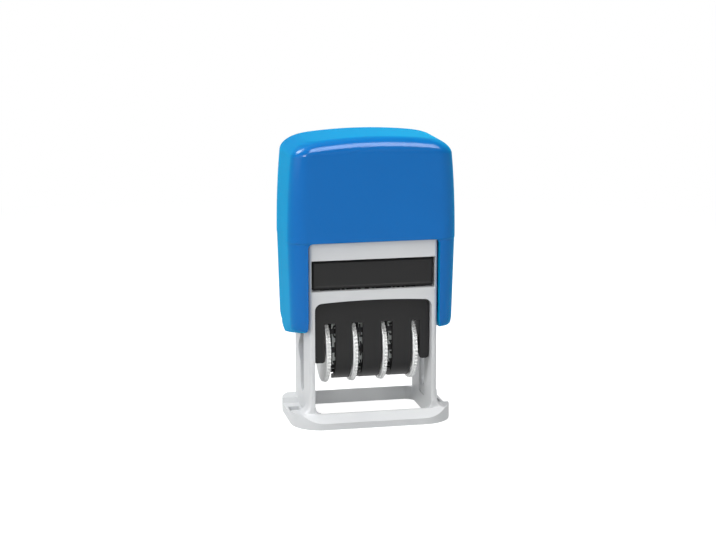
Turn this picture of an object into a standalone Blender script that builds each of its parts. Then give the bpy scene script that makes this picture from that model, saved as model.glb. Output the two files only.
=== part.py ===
"""Self-inking mini date stamp, built the way the real one comes apart on a bench.

Metres, +Z up. The origin lies on the table in the middle of the base. X runs along
the printed line, and -Y faces the person who reads and turns the date wheels.

Pressing the cap carries the date unit down on two pins. Pegs on the unit run in the
cam slots of the frame, so it turns over once on the way and prints through the base.
"""
import math

import bmesh
import bpy
from mathutils import Matrix, Vector

# Units, clearances and facets
MM = 0.001
gap = 0.3 * MM  # running gap between neighbouring pieces
overrun = 6.0 * MM  # how far a cutter runs past the wall that it cuts
weld = 0.6 * MM  # how deep two joined shapes sink into each other
arc_steps = 5  # facets in a quarter round
round_facets = 28  # facets of a pin or bore
peg_facets = 16
merge_distance = 0.01 * MM

# Base ring that stands on the paper
base_length = 37.2 * MM
base_depth = 24.8 * MM
base_corner_radius = 6.0 * MM
base_edge_height = 1.5 * MM
base_height = 3.2 * MM
base_slope_run = 2.2 * MM  # front and back slope up over this distance from the outer edge
end_dip_half = 5.0 * MM  # each end dips in its middle, under the leg of the cap
end_dip_depth = 1.2 * MM
end_dip_slant = 0.4 * MM
end_pocket_half = 2.0 * MM  # small pocket in the dip, below the slot in the wall
end_pocket_depth = 1.0 * MM
end_pocket_margin = 0.6 * MM
base_floor_step = 0.4 * MM  # the walls stop this far above the table
opening_depth = 19.7 * MM
opening_corner_radius = 1.3 * MM
opening_side_step = 0.2 * MM
gusset_rise = 3.2 * MM
gusset_reach = 2.35 * MM

# Frame tower above the base
chamber_width = 27.1 * MM  # clear width between the two side walls
frame_wall = 1.3 * MM
frame_plate = 1.3 * MM  # front and back plates
tower_depth = 19.0 * MM
tower_edge_radius = 0.5 * MM
attic_height = 4.2 * MM  # rim round the spring's seat above the roof
ink_plate_thickness = 2.3 * MM  # plate with the ink window, between the chamber and the pad
chamber_crown = 0.4 * MM
chamber_corner_radius = 1.7 * MM
roof_thickness = 1.2 * MM
rail_width = 1.55 * MM  # side rails that carry the ink pad
groove_depth = 0.35 * MM
groove_margin = 0.3 * MM
groove_foot_height = 0.8 * MM  # from the base top to the lower end of the wall grooves

# Turning motion of the date unit
pivot_z = 23.5 * MM
print_radius = 8.0 * MM  # from the pivot to the face of the type
paper_gap = 0.1 * MM
pin_radius = 1.7 * MM
follower_radius = 0.8 * MM
follower_arm = 3.7 * MM
press_travel = pivot_z - print_radius - paper_gap

# Cap with its two legs
cap_width = 38.7 * MM
cap_shoulder_draw = 0.5 * MM  # each side leans in by this much up to the rounded top
cap_wall = 0.9 * MM
cap_side_wall = 1.5 * MM
cap_roof = 1.7 * MM
cap_height_reserve = 5.1 * MM  # left over the frame when the cap is pressed down
cap_corner_radius = 3.9 * MM
cap_edge_radius = 3.4 * MM
cap_end_radius = 5.4 * MM
cap_crown = 1.7 * MM  # the top falls by this much from its middle to either end
crown_steps = 4
crown_ring_shares = (0.75, 0.5, 0.25, 0.05)
cap_inner_corner_radius = 2.8 * MM
cap_inner_edge_radius = 2.2 * MM
ledge_drop = 1.3 * MM  # the cap's ledge lies below the top of the tower
ledge_step = 0.3 * MM  # the front and back of the legs stand back from the cap by this much
leg_side_step = 0.05 * MM
window_corner_radius = 1.2 * MM
leg_below_pivot = 2.8 * MM
leg_tongue_height = 4.3 * MM
leg_draw = 0.7 * MM  # each leg narrows by this much from the ledge to the tongue
leg_corner_radius = 3.4 * MM
leg_tip_sharpening_share = 0.7  # the corner radius shrinks by this share down to the tip
corner_limit_share = 0.9
leg_outer_round = 0.9 * MM
leg_inner_round = 1.5 * MM
leg_wall = 1.4 * MM
leg_rim = 1.8 * MM
leg_hollow_rise = 4.4 * MM
pin_boss_radius = 2.9 * MM
pin_reach = 0.9 * MM  # how far a pin enters the bore of the cheek

# Return spring and its seats
spring_radius = 5.2 * MM
spring_wire_radius = 0.4 * MM
spring_turns = 7
spring_points_per_turn = 10
spring_post_height = 3.2 * MM

# Ink pad cartridge
pad_height = 6.5 * MM
pad_face_width = 28.0 * MM
pad_face_set_back = 0.7 * MM
pad_face_thickness = 1.3 * MM
pad_face_bevel = 0.25 * MM
pad_wall = 1.3 * MM
pad_pocket_depth = 13.4 * MM
felt_thickness = 4.2 * MM

# Wheel line: wheels and bands side by side along X
wheel_radius = 7.8 * MM
wheel_thickness = 1.1 * MM
wheel_teeth = 54
tooth_depth = 0.6 * MM
hub_radius = 4.2 * MM
axle_radius = 1.0 * MM
axle_forward = 0.75 * MM
axle_drop = 7.25 * MM
axle_bore_gap = 0.25 * MM
day_band_width = 2.15 * MM
month_band_width = 5.17 * MM
year_band_width = 5.34 * MM
spacer_radius = 2.2 * MM

# Rubber bands with their raised type blocks
band_thickness = 0.7 * MM
type_height = 0.4 * MM
type_count = 12
type_gap_share = 0.12
points_per_type = 4
nose_half_flat = 1.7 * MM
nose_radius = 0.8 * MM

# Date unit: cheeks, slotted cover, bridge and tie rod
cheek_thickness = 1.2 * MM
cheek_top_drop = 1.8 * MM  # below the top of the chamber
cheek_back_reach = 7.1 * MM
cheek_shoulder_reach = 4.4 * MM
cheek_shoulder_rise = 0.6 * MM
cheek_bottom_drop = 4.2 * MM  # below the axle
cheek_toe_back = 2.9 * MM
cheek_toe_front = 3.4 * MM
cheek_round = 1.8 * MM
cover_thickness = 1.0 * MM
cover_radius = 6.95 * MM  # the tongues curl under the bands about the axle
cover_top_gap = 0.35 * MM
cover_corner_radius = 1.5 * MM
cover_leg_below_axle = 1.8 * MM
cover_leg_round = 0.5 * MM
cover_tongue_angle = math.radians(84)
slot_top_gap = 0.15 * MM
slot_left_margin = 0.3 * MM
slot_right_margin = 1.2 * MM
slot_last_margin = 0.55 * MM
slot_round = 0.3 * MM
bridge_depth = 5.6 * MM
bridge_waist = 3.2 * MM
bridge_head = 1.6 * MM
tie_radius = 0.9 * MM
tie_back = 5.3 * MM
tie_rise = 0.6 * MM

# Places worked out from the sizes above
wall_inner_x = chamber_width / 2
wall_outer_x = wall_inner_x + frame_wall
tower_half = tower_depth / 2
cap_half_width = cap_width / 2
cap_half_depth = tower_half + gap + cap_wall
leg_inner_x = wall_outer_x + gap
leg_half_depth = cap_half_depth - ledge_step
pad_low_z = pivot_z + print_radius + gap
pad_high_z = pad_low_z + pad_height
tunnel_low_z = pad_low_z - gap
tunnel_high_z = pad_high_z + gap
chamber_top_z = tunnel_low_z - ink_plate_thickness
roof_z = tunnel_high_z + roof_thickness
tower_top_z = roof_z + attic_height
ledge_z = tower_top_z - ledge_drop
ceiling_z = tower_top_z + press_travel + cap_height_reserve
cap_top_z = ceiling_z + cap_roof
leg_bottom_z = pivot_z - leg_below_pivot
axle_y = -axle_forward
axle_z = pivot_z - axle_drop
cover_leg_bottom_z = axle_z - cover_leg_below_axle
cheek_outer_x = wall_inner_x - gap
cheek_inner_x = cheek_outer_x - cheek_thickness
bore_radius = axle_radius + axle_bore_gap
slot_half_width = pin_radius + gap
cover_y = axle_y - cover_radius
cover_back_y = cover_y + cover_thickness
band_inner_radius = hub_radius + gap
nose_z = pivot_z + print_radius - type_height - band_thickness - nose_radius

# Colours of the mouldings, linear RGB
blue_plastic = (0.000, 0.137, 0.445)
grey_plastic = (0.640, 0.645, 0.655)
black_plastic = (0.030, 0.030, 0.031)
white_plastic = (0.820, 0.825, 0.820)
dark_rubber = (0.055, 0.055, 0.056)
ink_felt = (0.012, 0.012, 0.016)
bright_steel = (0.560, 0.570, 0.580)


def clear_scene():
    """Remove what the new file starts with."""
    for item in list(bpy.data.objects):
        bpy.data.objects.remove(item, do_unlink=True)


def new_collection(name):
    """Add a collection to the scene."""
    group = bpy.data.collections.new(name)
    bpy.context.scene.collection.children.link(group)
    return group


def principled(name, colour, roughness, metallic=0.0):
    """A material with one Principled shader."""
    material = bpy.data.materials.new(name)
    material.use_nodes = True
    shader = material.node_tree.nodes["Principled BSDF"]
    shader.inputs["Base Color"].default_value = (*colour, 1.0)
    shader.inputs["Roughness"].default_value = roughness
    shader.inputs["Metallic"].default_value = metallic
    return material


def mesh_object(name, bm, group):
    """Turn a bmesh into an object, with its normals facing out."""
    bmesh.ops.remove_doubles(bm, verts=bm.verts, dist=merge_distance)
    bmesh.ops.recalc_face_normals(bm, faces=bm.faces)
    mesh = bpy.data.meshes.new(name)
    bm.to_mesh(mesh)
    bm.free()
    item = bpy.data.objects.new(name, mesh)
    group.objects.link(item)
    return item


def as_guide(item):
    """Mark an object as a cutter or a joined shape that isn't a piece itself."""
    item.hide_render = True
    item.display_type = "WIRE"
    return item


def combine(item, other, operation):
    """Cut with, join or intersect another closed shape."""
    modifier = item.modifiers.new(other.name, "BOOLEAN")
    modifier.operation = operation
    modifier.solver = "EXACT"
    modifier.object = other


def box(name, low, high, group):
    """A box between two corners, from a unit cube."""
    bm = bmesh.new()
    bmesh.ops.create_cube(bm, size=1)
    size = Vector(high) - Vector(low)
    centre = (Vector(high) + Vector(low)) / 2
    bmesh.ops.scale(bm, vec=size, verts=bm.verts)
    bmesh.ops.translate(bm, vec=centre, verts=bm.verts)
    return mesh_object(name, bm, group)


def cylinder(name, radius, start, end, group, facets=round_facets):
    """A round bar between two points."""
    axis = Vector(end) - Vector(start)
    bm = bmesh.new()
    bmesh.ops.create_cone(bm, cap_ends=True, segments=facets, radius1=radius, radius2=radius,
                          depth=axis.length)
    turn = Vector((0, 0, 1)).rotation_difference(axis).to_matrix()
    bmesh.ops.rotate(bm, verts=bm.verts, matrix=turn)
    bmesh.ops.translate(bm, vec=(Vector(start) + Vector(end)) / 2, verts=bm.verts)
    return mesh_object(name, bm, group)


def prism(name, outline, direction, start, end, group):
    """Extrude a flat outline along X, Y or Z from one place to another."""
    def point(u, v, along):
        places = {"X": (along, u, v), "Y": (u, along, v), "Z": (u, v, along)}
        return places[direction]

    bm = bmesh.new()
    face = bm.faces.new([bm.verts.new(point(u, v, start)) for u, v in outline])
    moved = bmesh.ops.extrude_face_region(bm, geom=[face])["geom"]
    verts = [part for part in moved if isinstance(part, bmesh.types.BMVert)]
    bmesh.ops.translate(bm, vec=point(0, 0, end - start), verts=verts)
    return mesh_object(name, bm, group)


def loft(name, sections, group):
    """Join rings of equally many points and close both ends."""
    bm = bmesh.new()
    rings = [[bm.verts.new(place) for place in section] for section in sections]
    for lower, upper in zip(rings, rings[1:]):
        for index in range(len(lower)):
            after = (index + 1) % len(lower)
            bm.faces.new((lower[index], lower[after], upper[after], upper[index]))
    bm.faces.new(list(reversed(rings[0])))
    bm.faces.new(rings[-1])
    return mesh_object(name, bm, group)


def arc(centre, radius, start, end, steps):
    """Points on a circle from one angle to another, both ends included."""
    angles = [start + (end - start) * step / steps for step in range(steps + 1)]
    return [(centre[0] + radius * math.cos(a), centre[1] + radius * math.sin(a)) for a in angles]


def rounded(corners, steps=arc_steps):
    """An outline whose corners (u, v, radius) are replaced by arcs."""
    outline = []
    for index, (u, v, radius) in enumerate(corners):
        corner = Vector((u, v))
        before = (Vector(corners[index - 1][:2]) - corner).normalized()
        after = (Vector(corners[(index + 1) % len(corners)][:2]) - corner).normalized()
        if not radius:
            outline.append((u, v))
            continue
        half_angle = before.angle(after) / 2
        reach = radius / math.tan(half_angle)
        middle = corner + (before + after).normalized() * radius / math.sin(half_angle)
        first = corner + before * reach - middle
        turn = first.angle_signed(corner + after * reach - middle)
        base_angle = math.atan2(first.y, first.x)
        outline += arc(middle, radius, base_angle, base_angle - turn, steps)
    return outline


def round_rectangle(low_u, high_u, low_v, high_v, radius, steps=arc_steps):
    """A rectangle with four equal round corners, counter-clockwise."""
    return rounded([(low_u, low_v, radius), (high_u, low_v, radius),
                    (high_u, high_v, radius), (low_u, high_v, radius)], steps)


def crowned_top(half_width, side_z, crown, radius, bottom_z):
    """Outline of a window or panel whose top edge is a shallow arch with round corners."""
    arch_radius = (half_width ** 2 + crown ** 2) / (2 * crown)
    centre_z = side_z + crown - arch_radius
    half_angle = math.asin((half_width - radius) / arch_radius)
    arch = arc((0, centre_z), arch_radius, math.pi / 2 - half_angle, math.pi / 2 + half_angle, 2 * arc_steps)
    shoulder_z = arch[0][1] - radius
    right = arc((half_width - radius, shoulder_z), radius, 0, math.pi / 2, arc_steps)
    left = arc((radius - half_width, shoulder_z), radius, math.pi / 2, math.pi, arc_steps)
    return [(half_width, bottom_z)] + right + arch[1:-1] + left + [(-half_width, bottom_z)]


def seat(item, place, parent=None):
    """Put the object's origin at a place without moving its surface."""
    item.data.transform(Matrix.Translation(-Vector(place)))
    item.location = Vector(place)
    if parent:
        item.location = Vector(place) - parent.location
        item.parent = parent


def finish(item, name, material, place, parent=None):
    """Name a piece, give it its material and smooth its round faces."""
    item.name = name
    item.data.name = name
    item.data.materials.append(material)
    item.data.shade_smooth()
    item.data.set_sharp_from_angle(angle=math.radians(30))
    seat(item, place, parent)
    return item


# Frame: base ring, two slotted side walls, plates round the ink pad tunnel


def base_ring(parts, guides):
    """The low ring that stands on the paper: sloping front and back, ends that dip in their middle."""
    half_length = base_length / 2
    half_depth = base_depth / 2
    outline = round_rectangle(-half_length, half_length, -half_depth, half_depth, base_corner_radius)
    ring = prism("base_ring", outline, "Z", 0, base_height, parts)
    past = half_length + overrun
    rise = base_height - base_edge_height
    wedge = [(-half_depth - base_slope_run, base_edge_height - rise),
             (-half_depth + 2 * base_slope_run, base_edge_height + 2 * rise),
             (-half_depth - base_slope_run, base_edge_height + 2 * rise)]
    cutters = [prism("front_slope", wedge, "X", -past, past, guides),
               prism("back_slope", [(-y, z) for y, z in wedge], "X", -past, past, guides)]

    floor_z = base_height - end_dip_depth
    steep = end_dip_slant / end_dip_depth
    dip_top = end_dip_half + end_dip_slant + overrun * steep
    dip = [(-end_dip_half, floor_z), (end_dip_half, floor_z), (dip_top, base_height + overrun),
           (-dip_top, base_height + overrun)]
    pocket_low = (wall_outer_x + end_pocket_margin, -end_pocket_half, floor_z - end_pocket_depth)
    pocket_high = (half_length - end_pocket_margin, end_pocket_half, base_height)
    for side, word in ((-1, "left"), (1, "right")):
        cutters.append(prism("end_dip_" + word, dip, "X", side * wall_inner_x, side * past, guides))
        corners = sorted((side * pocket_low[0], side * pocket_high[0]))
        cutters.append(box("end_pocket_" + word, (corners[0], *pocket_low[1:]),
                           (corners[1], *pocket_high[1:]), guides))
    opening_x = wall_inner_x + opening_side_step
    opening = round_rectangle(-opening_x, opening_x, -opening_depth / 2, opening_depth / 2,
                              opening_corner_radius)
    cutters.append(prism("print_opening", opening, "Z", -overrun, base_height + overrun, guides))
    for cutter in cutters:
        combine(ring, as_guide(cutter), "DIFFERENCE")
    return ring


def foot_gussets(group):
    """Four sloping ribs that brace the outer faces of the walls on the base."""
    near = wall_outer_x - weld
    far = wall_outer_x + gusset_reach
    side_view = [(near, base_height - weld), (far, base_height - weld), (far, base_height),
                 (wall_outer_x, base_height + gusset_rise), (near, base_height + gusset_rise)]
    start = end_dip_half + end_dip_slant
    end = tower_half - frame_plate
    gussets = []
    for side in (-1, 1):
        outline = [(side * x, z) for x, z in side_view]
        for way in (-1, 1):
            gussets.append(prism("gusset", outline, "Y", way * start, way * end, group))
    return gussets


def cam_slot_outline():
    """Slot in a side wall: straight for the cap's pin, bulging along the peg's path."""
    top_z = pivot_z + slot_half_width
    low_z = pivot_z - press_travel - slot_half_width
    rate = press_travel / math.pi
    bulge = []
    steps = 6 * arc_steps
    for step in range(steps + 1):
        turn = math.pi * step / steps
        y = follower_arm * math.sin(turn)
        z = pivot_z - rate * turn - follower_arm * math.cos(turn)
        along = Vector((follower_arm * math.cos(turn), follower_arm * math.sin(turn) - rate)).normalized()
        reach = follower_radius + gap
        edge = (y - along.y * reach, z + along.x * reach)
        if edge[0] > slot_half_width:
            bulge.append(edge)
    upper = arc((0, top_z - slot_half_width), slot_half_width, 0, math.pi, 2 * arc_steps)
    lower = arc((0, low_z + slot_half_width), slot_half_width, math.pi, 2 * math.pi, 2 * arc_steps)
    return upper + lower + list(reversed(bulge))


def frame_tower(group):
    """The upright housing: two slotted walls joined by the plates round the ink pad."""
    outline = round_rectangle(-wall_outer_x, wall_outer_x, -tower_half, tower_half, tower_edge_radius, 2)
    tower = prism("tower", outline, "Z", base_floor_step, tower_top_z, group)
    side_z = chamber_top_z - chamber_crown
    chamber = crowned_top(wall_inner_x, side_z, chamber_crown, chamber_corner_radius, -overrun)
    past = tower_half + overrun
    cutters = [prism("chamber", chamber, "Y", -past, past, group)]

    face_half = pad_face_width / 2 + gap
    step_y = -tower_half + pad_face_set_back + pad_face_thickness + gap
    tunnel = [(-face_half, -past), (face_half, -past), (face_half, step_y), (wall_inner_x, step_y),
              (wall_inner_x, past), (-wall_inner_x, past), (-wall_inner_x, step_y), (-face_half, step_y)]
    cutters.append(prism("pad_tunnel", tunnel, "Z", tunnel_low_z, tunnel_high_z, group))

    reach_x = wall_inner_x - rail_width
    reach_y = tower_half - frame_plate - gap
    cutters.append(box("ink_window", (-reach_x, -reach_y, chamber_top_z - overrun / 2),
                       (reach_x, reach_y, tunnel_low_z + weld), group))
    attic_y = tower_half - frame_plate
    cutters.append(box("attic", (-wall_inner_x, -attic_y, roof_z),
                       (wall_inner_x, attic_y, tower_top_z + overrun), group))
    past_x = wall_outer_x + overrun
    cutters.append(prism("cam_slots", cam_slot_outline(), "X", -past_x, past_x, group))
    groove_half = slot_half_width + groove_margin
    groove_x = wall_inner_x + groove_depth
    cutters.append(box("wall_grooves", (-groove_x, -groove_half, base_height + groove_foot_height),
                       (groove_x, groove_half, side_z - chamber_corner_radius), group))
    for cutter in cutters:
        combine(tower, as_guide(cutter), "DIFFERENCE")
    post_radius = spring_radius - spring_wire_radius - gap
    post = cylinder("spring_post", post_radius, (0, 0, roof_z - weld),
                    (0, 0, roof_z + spring_post_height), group)
    combine(tower, as_guide(post), "UNION")
    return as_guide(tower)


def build_frame(parts, guides, material):
    """The grey moulding that stands still."""
    frame = base_ring(parts, guides)
    for gusset in foot_gussets(guides):
        combine(frame, as_guide(gusset), "UNION")
    combine(frame, frame_tower(guides), "UNION")
    return finish(frame, "frame", material, (0, 0, 0))


# Cap: crowned shell with two hollow legs, pins and a spring boss


def cap_sections(half_width, half_depth, low_z, top_z, corner_radius, edge_radius, end_radius):
    """Rings of a crowned, rounded box from its open rim to the middle of its top."""
    def ring(inset_share, z, scale=1.0):
        lean = cap_shoulder_draw * (z - ledge_z) / (cap_top_z - ledge_z)
        half_x = (half_width - lean - end_radius * inset_share) * scale
        half_y = (half_depth - edge_radius * inset_share) * scale
        radius = (corner_radius - (edge_radius - merge_distance) * inset_share) * scale
        steps = range(1 - crown_steps, crown_steps)
        along = [(half_x - radius) * step / crown_steps for step in steps]
        front = [(x, -half_y, 0) for x in along]
        back = [(-x, half_y, 0) for x in along]
        outline = rounded([(-half_x, -half_y, radius)] + front + [(half_x, -half_y, radius)]
                          + [(half_x, half_y, radius)] + back + [(-half_x, half_y, radius)])
        height = (z - low_z) / (top_z - low_z)
        return [(x, y, z - cap_crown * (x / cap_half_width) ** 2 * height ** 3) for x, y in outline]

    shoulder_z = top_z - edge_radius
    rise_steps = 3
    sections = [ring(0, low_z + (shoulder_z - low_z) * step / rise_steps) for step in range(rise_steps + 1)]
    round_steps = 7
    for step in range(1, round_steps + 1):
        angle = math.pi / 2 * step / round_steps
        sections.append(ring(1 - math.cos(angle), shoulder_z + edge_radius * math.sin(angle)))
    for scale in crown_ring_shares:
        sections.append(ring(1, top_z, scale))
    return sections


def leg_sections(side):
    """Plan sections of one leg, from the tip of its tongue up into the cap."""
    sections = []
    steps = 9
    tongue_top_z = leg_bottom_z + leg_tongue_height
    heights = [math.cos(math.pi / 2 * step / steps) for step in range(1, steps + 1)]
    levels = [(tongue_top_z - leg_tongue_height * share, share) for share in heights]
    levels += [(ledge_z + weld, 0)]
    outer_top = cap_half_width - leg_side_step
    for z, share in levels:
        half_depth = leg_half_depth * (1 - share ** 2.2) ** 0.27
        lean = leg_draw * (ledge_z - z) / (ledge_z - tongue_top_z)
        outer = outer_top - min(lean, leg_draw) - leg_outer_round * (1 - math.sqrt(1 - share ** 4))
        inner = leg_inner_x + leg_inner_round * share ** 3
        radius = leg_corner_radius * (1 - leg_tip_sharpening_share * share ** 2)
        radius = min(radius, (outer - inner) * corner_limit_share)
        corners = [(inner, -half_depth, 0), (outer, -half_depth, radius),
                   (outer, half_depth, radius), (inner, half_depth, 0)]
        sections.append([(side * x, y, z) for x, y in rounded(corners)])
    return sections


def build_cap(parts, guides, material):
    """The blue shell that is pressed, with its legs outside the frame."""
    outer = cap_sections(cap_half_width, cap_half_depth, ledge_z, cap_top_z,
                         cap_corner_radius, cap_edge_radius, cap_end_radius)
    cap = loft("cap", outer, parts)
    for side, word in ((-1, "left"), (1, "right")):
        leg = loft("leg_" + word, leg_sections(side), guides)
        combine(cap, as_guide(leg), "UNION")

    hollow = cap_sections(cap_half_width - cap_side_wall, cap_half_depth - cap_wall, ledge_z - weld,
                          ceiling_z, cap_inner_corner_radius, cap_inner_edge_radius,
                          cap_inner_edge_radius + cap_end_radius - cap_edge_radius)
    combine(cap, as_guide(loft("cap_hollow", hollow, guides)), "DIFFERENCE")
    window_low = leg_bottom_z - overrun
    window = rounded([(-leg_inner_x, window_low, 0), (leg_inner_x, window_low, 0),
                      (leg_inner_x, ledge_z, window_corner_radius),
                      (-leg_inner_x, ledge_z, window_corner_radius)])
    past = cap_half_depth + overrun
    combine(cap, as_guide(prism("cap_window", window, "Y", -past, past, guides)), "DIFFERENCE")
    hollow_x = cap_half_width - leg_side_step - leg_draw - leg_wall
    hollow_y = leg_half_depth - leg_rim
    leg_hollow = box("leg_hollows", (-hollow_x, -hollow_y, leg_bottom_z + leg_hollow_rise),
                     (hollow_x, hollow_y, ledge_z + weld), guides)
    combine(cap, as_guide(leg_hollow), "DIFFERENCE")

    for side, word in ((-1, "left"), (1, "right")):
        root = side * (hollow_x + weld)
        boss = cylinder("pin_boss_" + word, pin_boss_radius, (root, 0, pivot_z),
                        (side * leg_inner_x, 0, pivot_z), guides)
        combine(cap, as_guide(boss), "UNION")
        pin = cylinder("pin_" + word, pin_radius, (root, 0, pivot_z),
                       (side * (cheek_outer_x - pin_reach), 0, pivot_z), guides)
        combine(cap, as_guide(pin), "UNION")
    post_radius = spring_radius - spring_wire_radius - gap
    seat_boss = cylinder("spring_boss", post_radius, (0, 0, ceiling_z - spring_post_height),
                         (0, 0, ceiling_z + weld), guides)
    combine(cap, as_guide(seat_boss), "UNION")
    return finish(cap, "cap", material, (0, 0, ledge_z))


def build_spring(parts, material):
    """The steel coil between the frame's roof and the cap's ceiling."""
    low = roof_z + spring_wire_radius + gap
    high = ceiling_z - spring_wire_radius - gap
    curve = bpy.data.curves.new("press_spring", "CURVE")
    curve.dimensions = "3D"
    curve.bevel_depth = spring_wire_radius
    curve.bevel_resolution = 1
    curve.use_fill_caps = True
    count = spring_turns * spring_points_per_turn + 1
    spline = curve.splines.new("POLY")
    spline.points.add(count - 1)
    for index in range(count):
        share = index / (count - 1)
        turn = 2 * math.pi * spring_turns * share
        place = (spring_radius * math.cos(turn), spring_radius * math.sin(turn), (high - low) * share, 1)
        spline.points[index].co = place
    spring = bpy.data.objects.new("press_spring", curve)
    spring.location = (0, 0, low)
    curve.materials.append(material)
    parts.objects.link(spring)
    pitch = (high - low) / spring_turns
    print("least gap between spring turns, mm:", round((pitch - 2 * spring_wire_radius) / MM, 3))
    return spring


# Ink pad: cartridge with a front plate, and the felt in its pocket


def build_ink_pad(parts, guides, case_material, felt_material):
    """The cartridge that slides out of the front, open below the felt."""
    slide = bpy.data.objects.new("ink_pad_slide", None)
    parts.objects.link(slide)
    slide.location = (0, -tower_half, pad_low_z)
    front_y = -tower_half + pad_face_set_back
    plate_half = pad_face_width / 2
    body_half = wall_inner_x - gap
    bevel = pad_face_bevel
    plate_rings = []
    for y, inset in ((front_y, bevel), (front_y + bevel, 0), (front_y + pad_face_thickness, 0)):
        outline = round_rectangle(-plate_half + inset, plate_half - inset, pad_low_z + inset,
                                  pad_high_z - inset, bevel, 2)
        plate_rings.append([(x, y, z) for x, z in outline])
    case = loft("ink_pad_case", plate_rings, parts)
    body = box("pad_body", (-body_half, front_y + pad_face_thickness - weld, pad_low_z + bevel),
               (body_half, tower_half - pad_face_set_back, pad_high_z - bevel), guides)
    combine(case, as_guide(body), "UNION")
    pocket_x = body_half - pad_wall
    pocket_y = pad_pocket_depth / 2
    pocket_top = pad_low_z + felt_thickness + gap
    pocket = box("felt_pocket", (-pocket_x, -pocket_y, pad_low_z - overrun),
                 (pocket_x, pocket_y, pocket_top), guides)
    combine(case, as_guide(pocket), "DIFFERENCE")
    finish(case, "ink_pad_case", case_material, (0, -tower_half, pad_low_z), slide)

    outline = round_rectangle(-pocket_x + gap, pocket_x - gap, -pocket_y + gap, pocket_y - gap, bevel, 2)
    felt = prism("ink_pad_felt", outline, "Z", pad_low_z, pocket_top - gap, parts)
    finish(felt, "ink_pad_felt", felt_material, (0, -tower_half, pad_low_z), slide)


# Date unit: wheel line along X


def wheel_line():
    """Places along X, from the left: each wheel's faces and each band's edges."""
    widths = [("wheel_1", wheel_thickness), ("band_day_tens", day_band_width),
              ("band_day_units", day_band_width), ("wheel_2", wheel_thickness),
              ("band_month", month_band_width), ("wheel_3", wheel_thickness),
              ("band_year", year_band_width), ("wheel_4", wheel_thickness)]
    total = sum(width for _, width in widths) + gap * (len(widths) - 1)
    places = {}
    x = -total / 2
    for name, width in widths:
        places[name] = (x, x + width)
        x += width + gap
    return places


band_of_wheel = {"wheel_1": "band_day_tens", "wheel_2": "band_day_units",
                 "wheel_3": "band_month", "wheel_4": "band_year"}


def build_wheel(name, places, parts, guides, material, parent):
    """A toothed thumb wheel with the drum that carries its band."""
    low, high = places[name]
    band_low, band_high = places[band_of_wheel[name]]
    wheel = cylinder(name, wheel_radius, (low, axle_y, axle_z), (high, axle_y, axle_z), parts,
                     2 * wheel_teeth)
    root_share = 1 - tooth_depth / wheel_radius
    centre = Vector((axle_y, axle_z))
    for vertex in wheel.data.vertices:
        spoke = Vector((vertex.co.y, vertex.co.z)) - centre
        index = round(math.atan2(spoke.y, spoke.x) / math.pi * wheel_teeth)
        if index % 2:
            vertex.co.y = axle_y + spoke.x * root_share
            vertex.co.z = axle_z + spoke.y * root_share
    middle = (low + high) / 2
    drum_end = band_high if band_high > high else band_low
    drum = cylinder("drum_" + name, hub_radius, (middle, axle_y, axle_z), (drum_end, axle_y, axle_z),
                    guides, 2 * round_facets)
    combine(wheel, as_guide(drum), "UNION")
    first = min(low, drum_end) - overrun
    last = max(high, drum_end) + overrun
    bore = cylinder("bore_" + name, bore_radius, (first, axle_y, axle_z), (last, axle_y, axle_z), guides)
    combine(wheel, as_guide(bore), "DIFFERENCE")
    return finish(wheel, name, material, (middle, axle_y, axle_z), parent)


def belt_path(circles):
    """A closed loop round circles (y, z, radius), counter-clockwise, as runs to walk along."""
    runs = []
    normals = []
    for index, (y, z, radius) in enumerate(circles):
        y2, z2, radius2 = circles[(index + 1) % len(circles)]
        distance = math.hypot(y2 - y, z2 - z)
        heading = math.atan2(z2 - z, y2 - y)
        normals.append(heading - math.acos((radius - radius2) / distance))
    for index, (y, z, radius) in enumerate(circles):
        arrive = normals[index - 1]
        leave = normals[index]
        while leave < arrive:
            leave += 2 * math.pi
        runs.append(("arc", (y, z), radius, arrive, leave, radius * (leave - arrive)))
        y2, z2, radius2 = circles[(index + 1) % len(circles)]
        first = (y + radius * math.cos(leave), z + radius * math.sin(leave))
        last = (y2 + radius2 * math.cos(leave), z2 + radius2 * math.sin(leave))
        runs.append(("line", first, last, leave, leave, math.dist(first, last)))
    return runs


def walk(runs, distance):
    """The place and outward normal at a distance along the loop."""
    distance = distance % sum(run[-1] for run in runs)
    for kind, first, second, start, end, length in runs:
        if distance > length:
            distance -= length
            continue
        share = distance / length
        if kind == "arc":
            angle = start + (end - start) * share
            return (first[0] + second * math.cos(angle), first[1] + second * math.sin(angle)), angle
        place = (first[0] + (second[0] - first[0]) * share, first[1] + (second[1] - first[1]) * share)
        return place, start
    return (runs[0][1][0], runs[0][1][1]), runs[0][3]


def band_circles():
    """What a band runs round: its drum, then the two corners of the bridge's nose."""
    return [(axle_y, axle_z, band_inner_radius), (nose_half_flat, nose_z, nose_radius),
            (-nose_half_flat, nose_z, nose_radius)]


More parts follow.
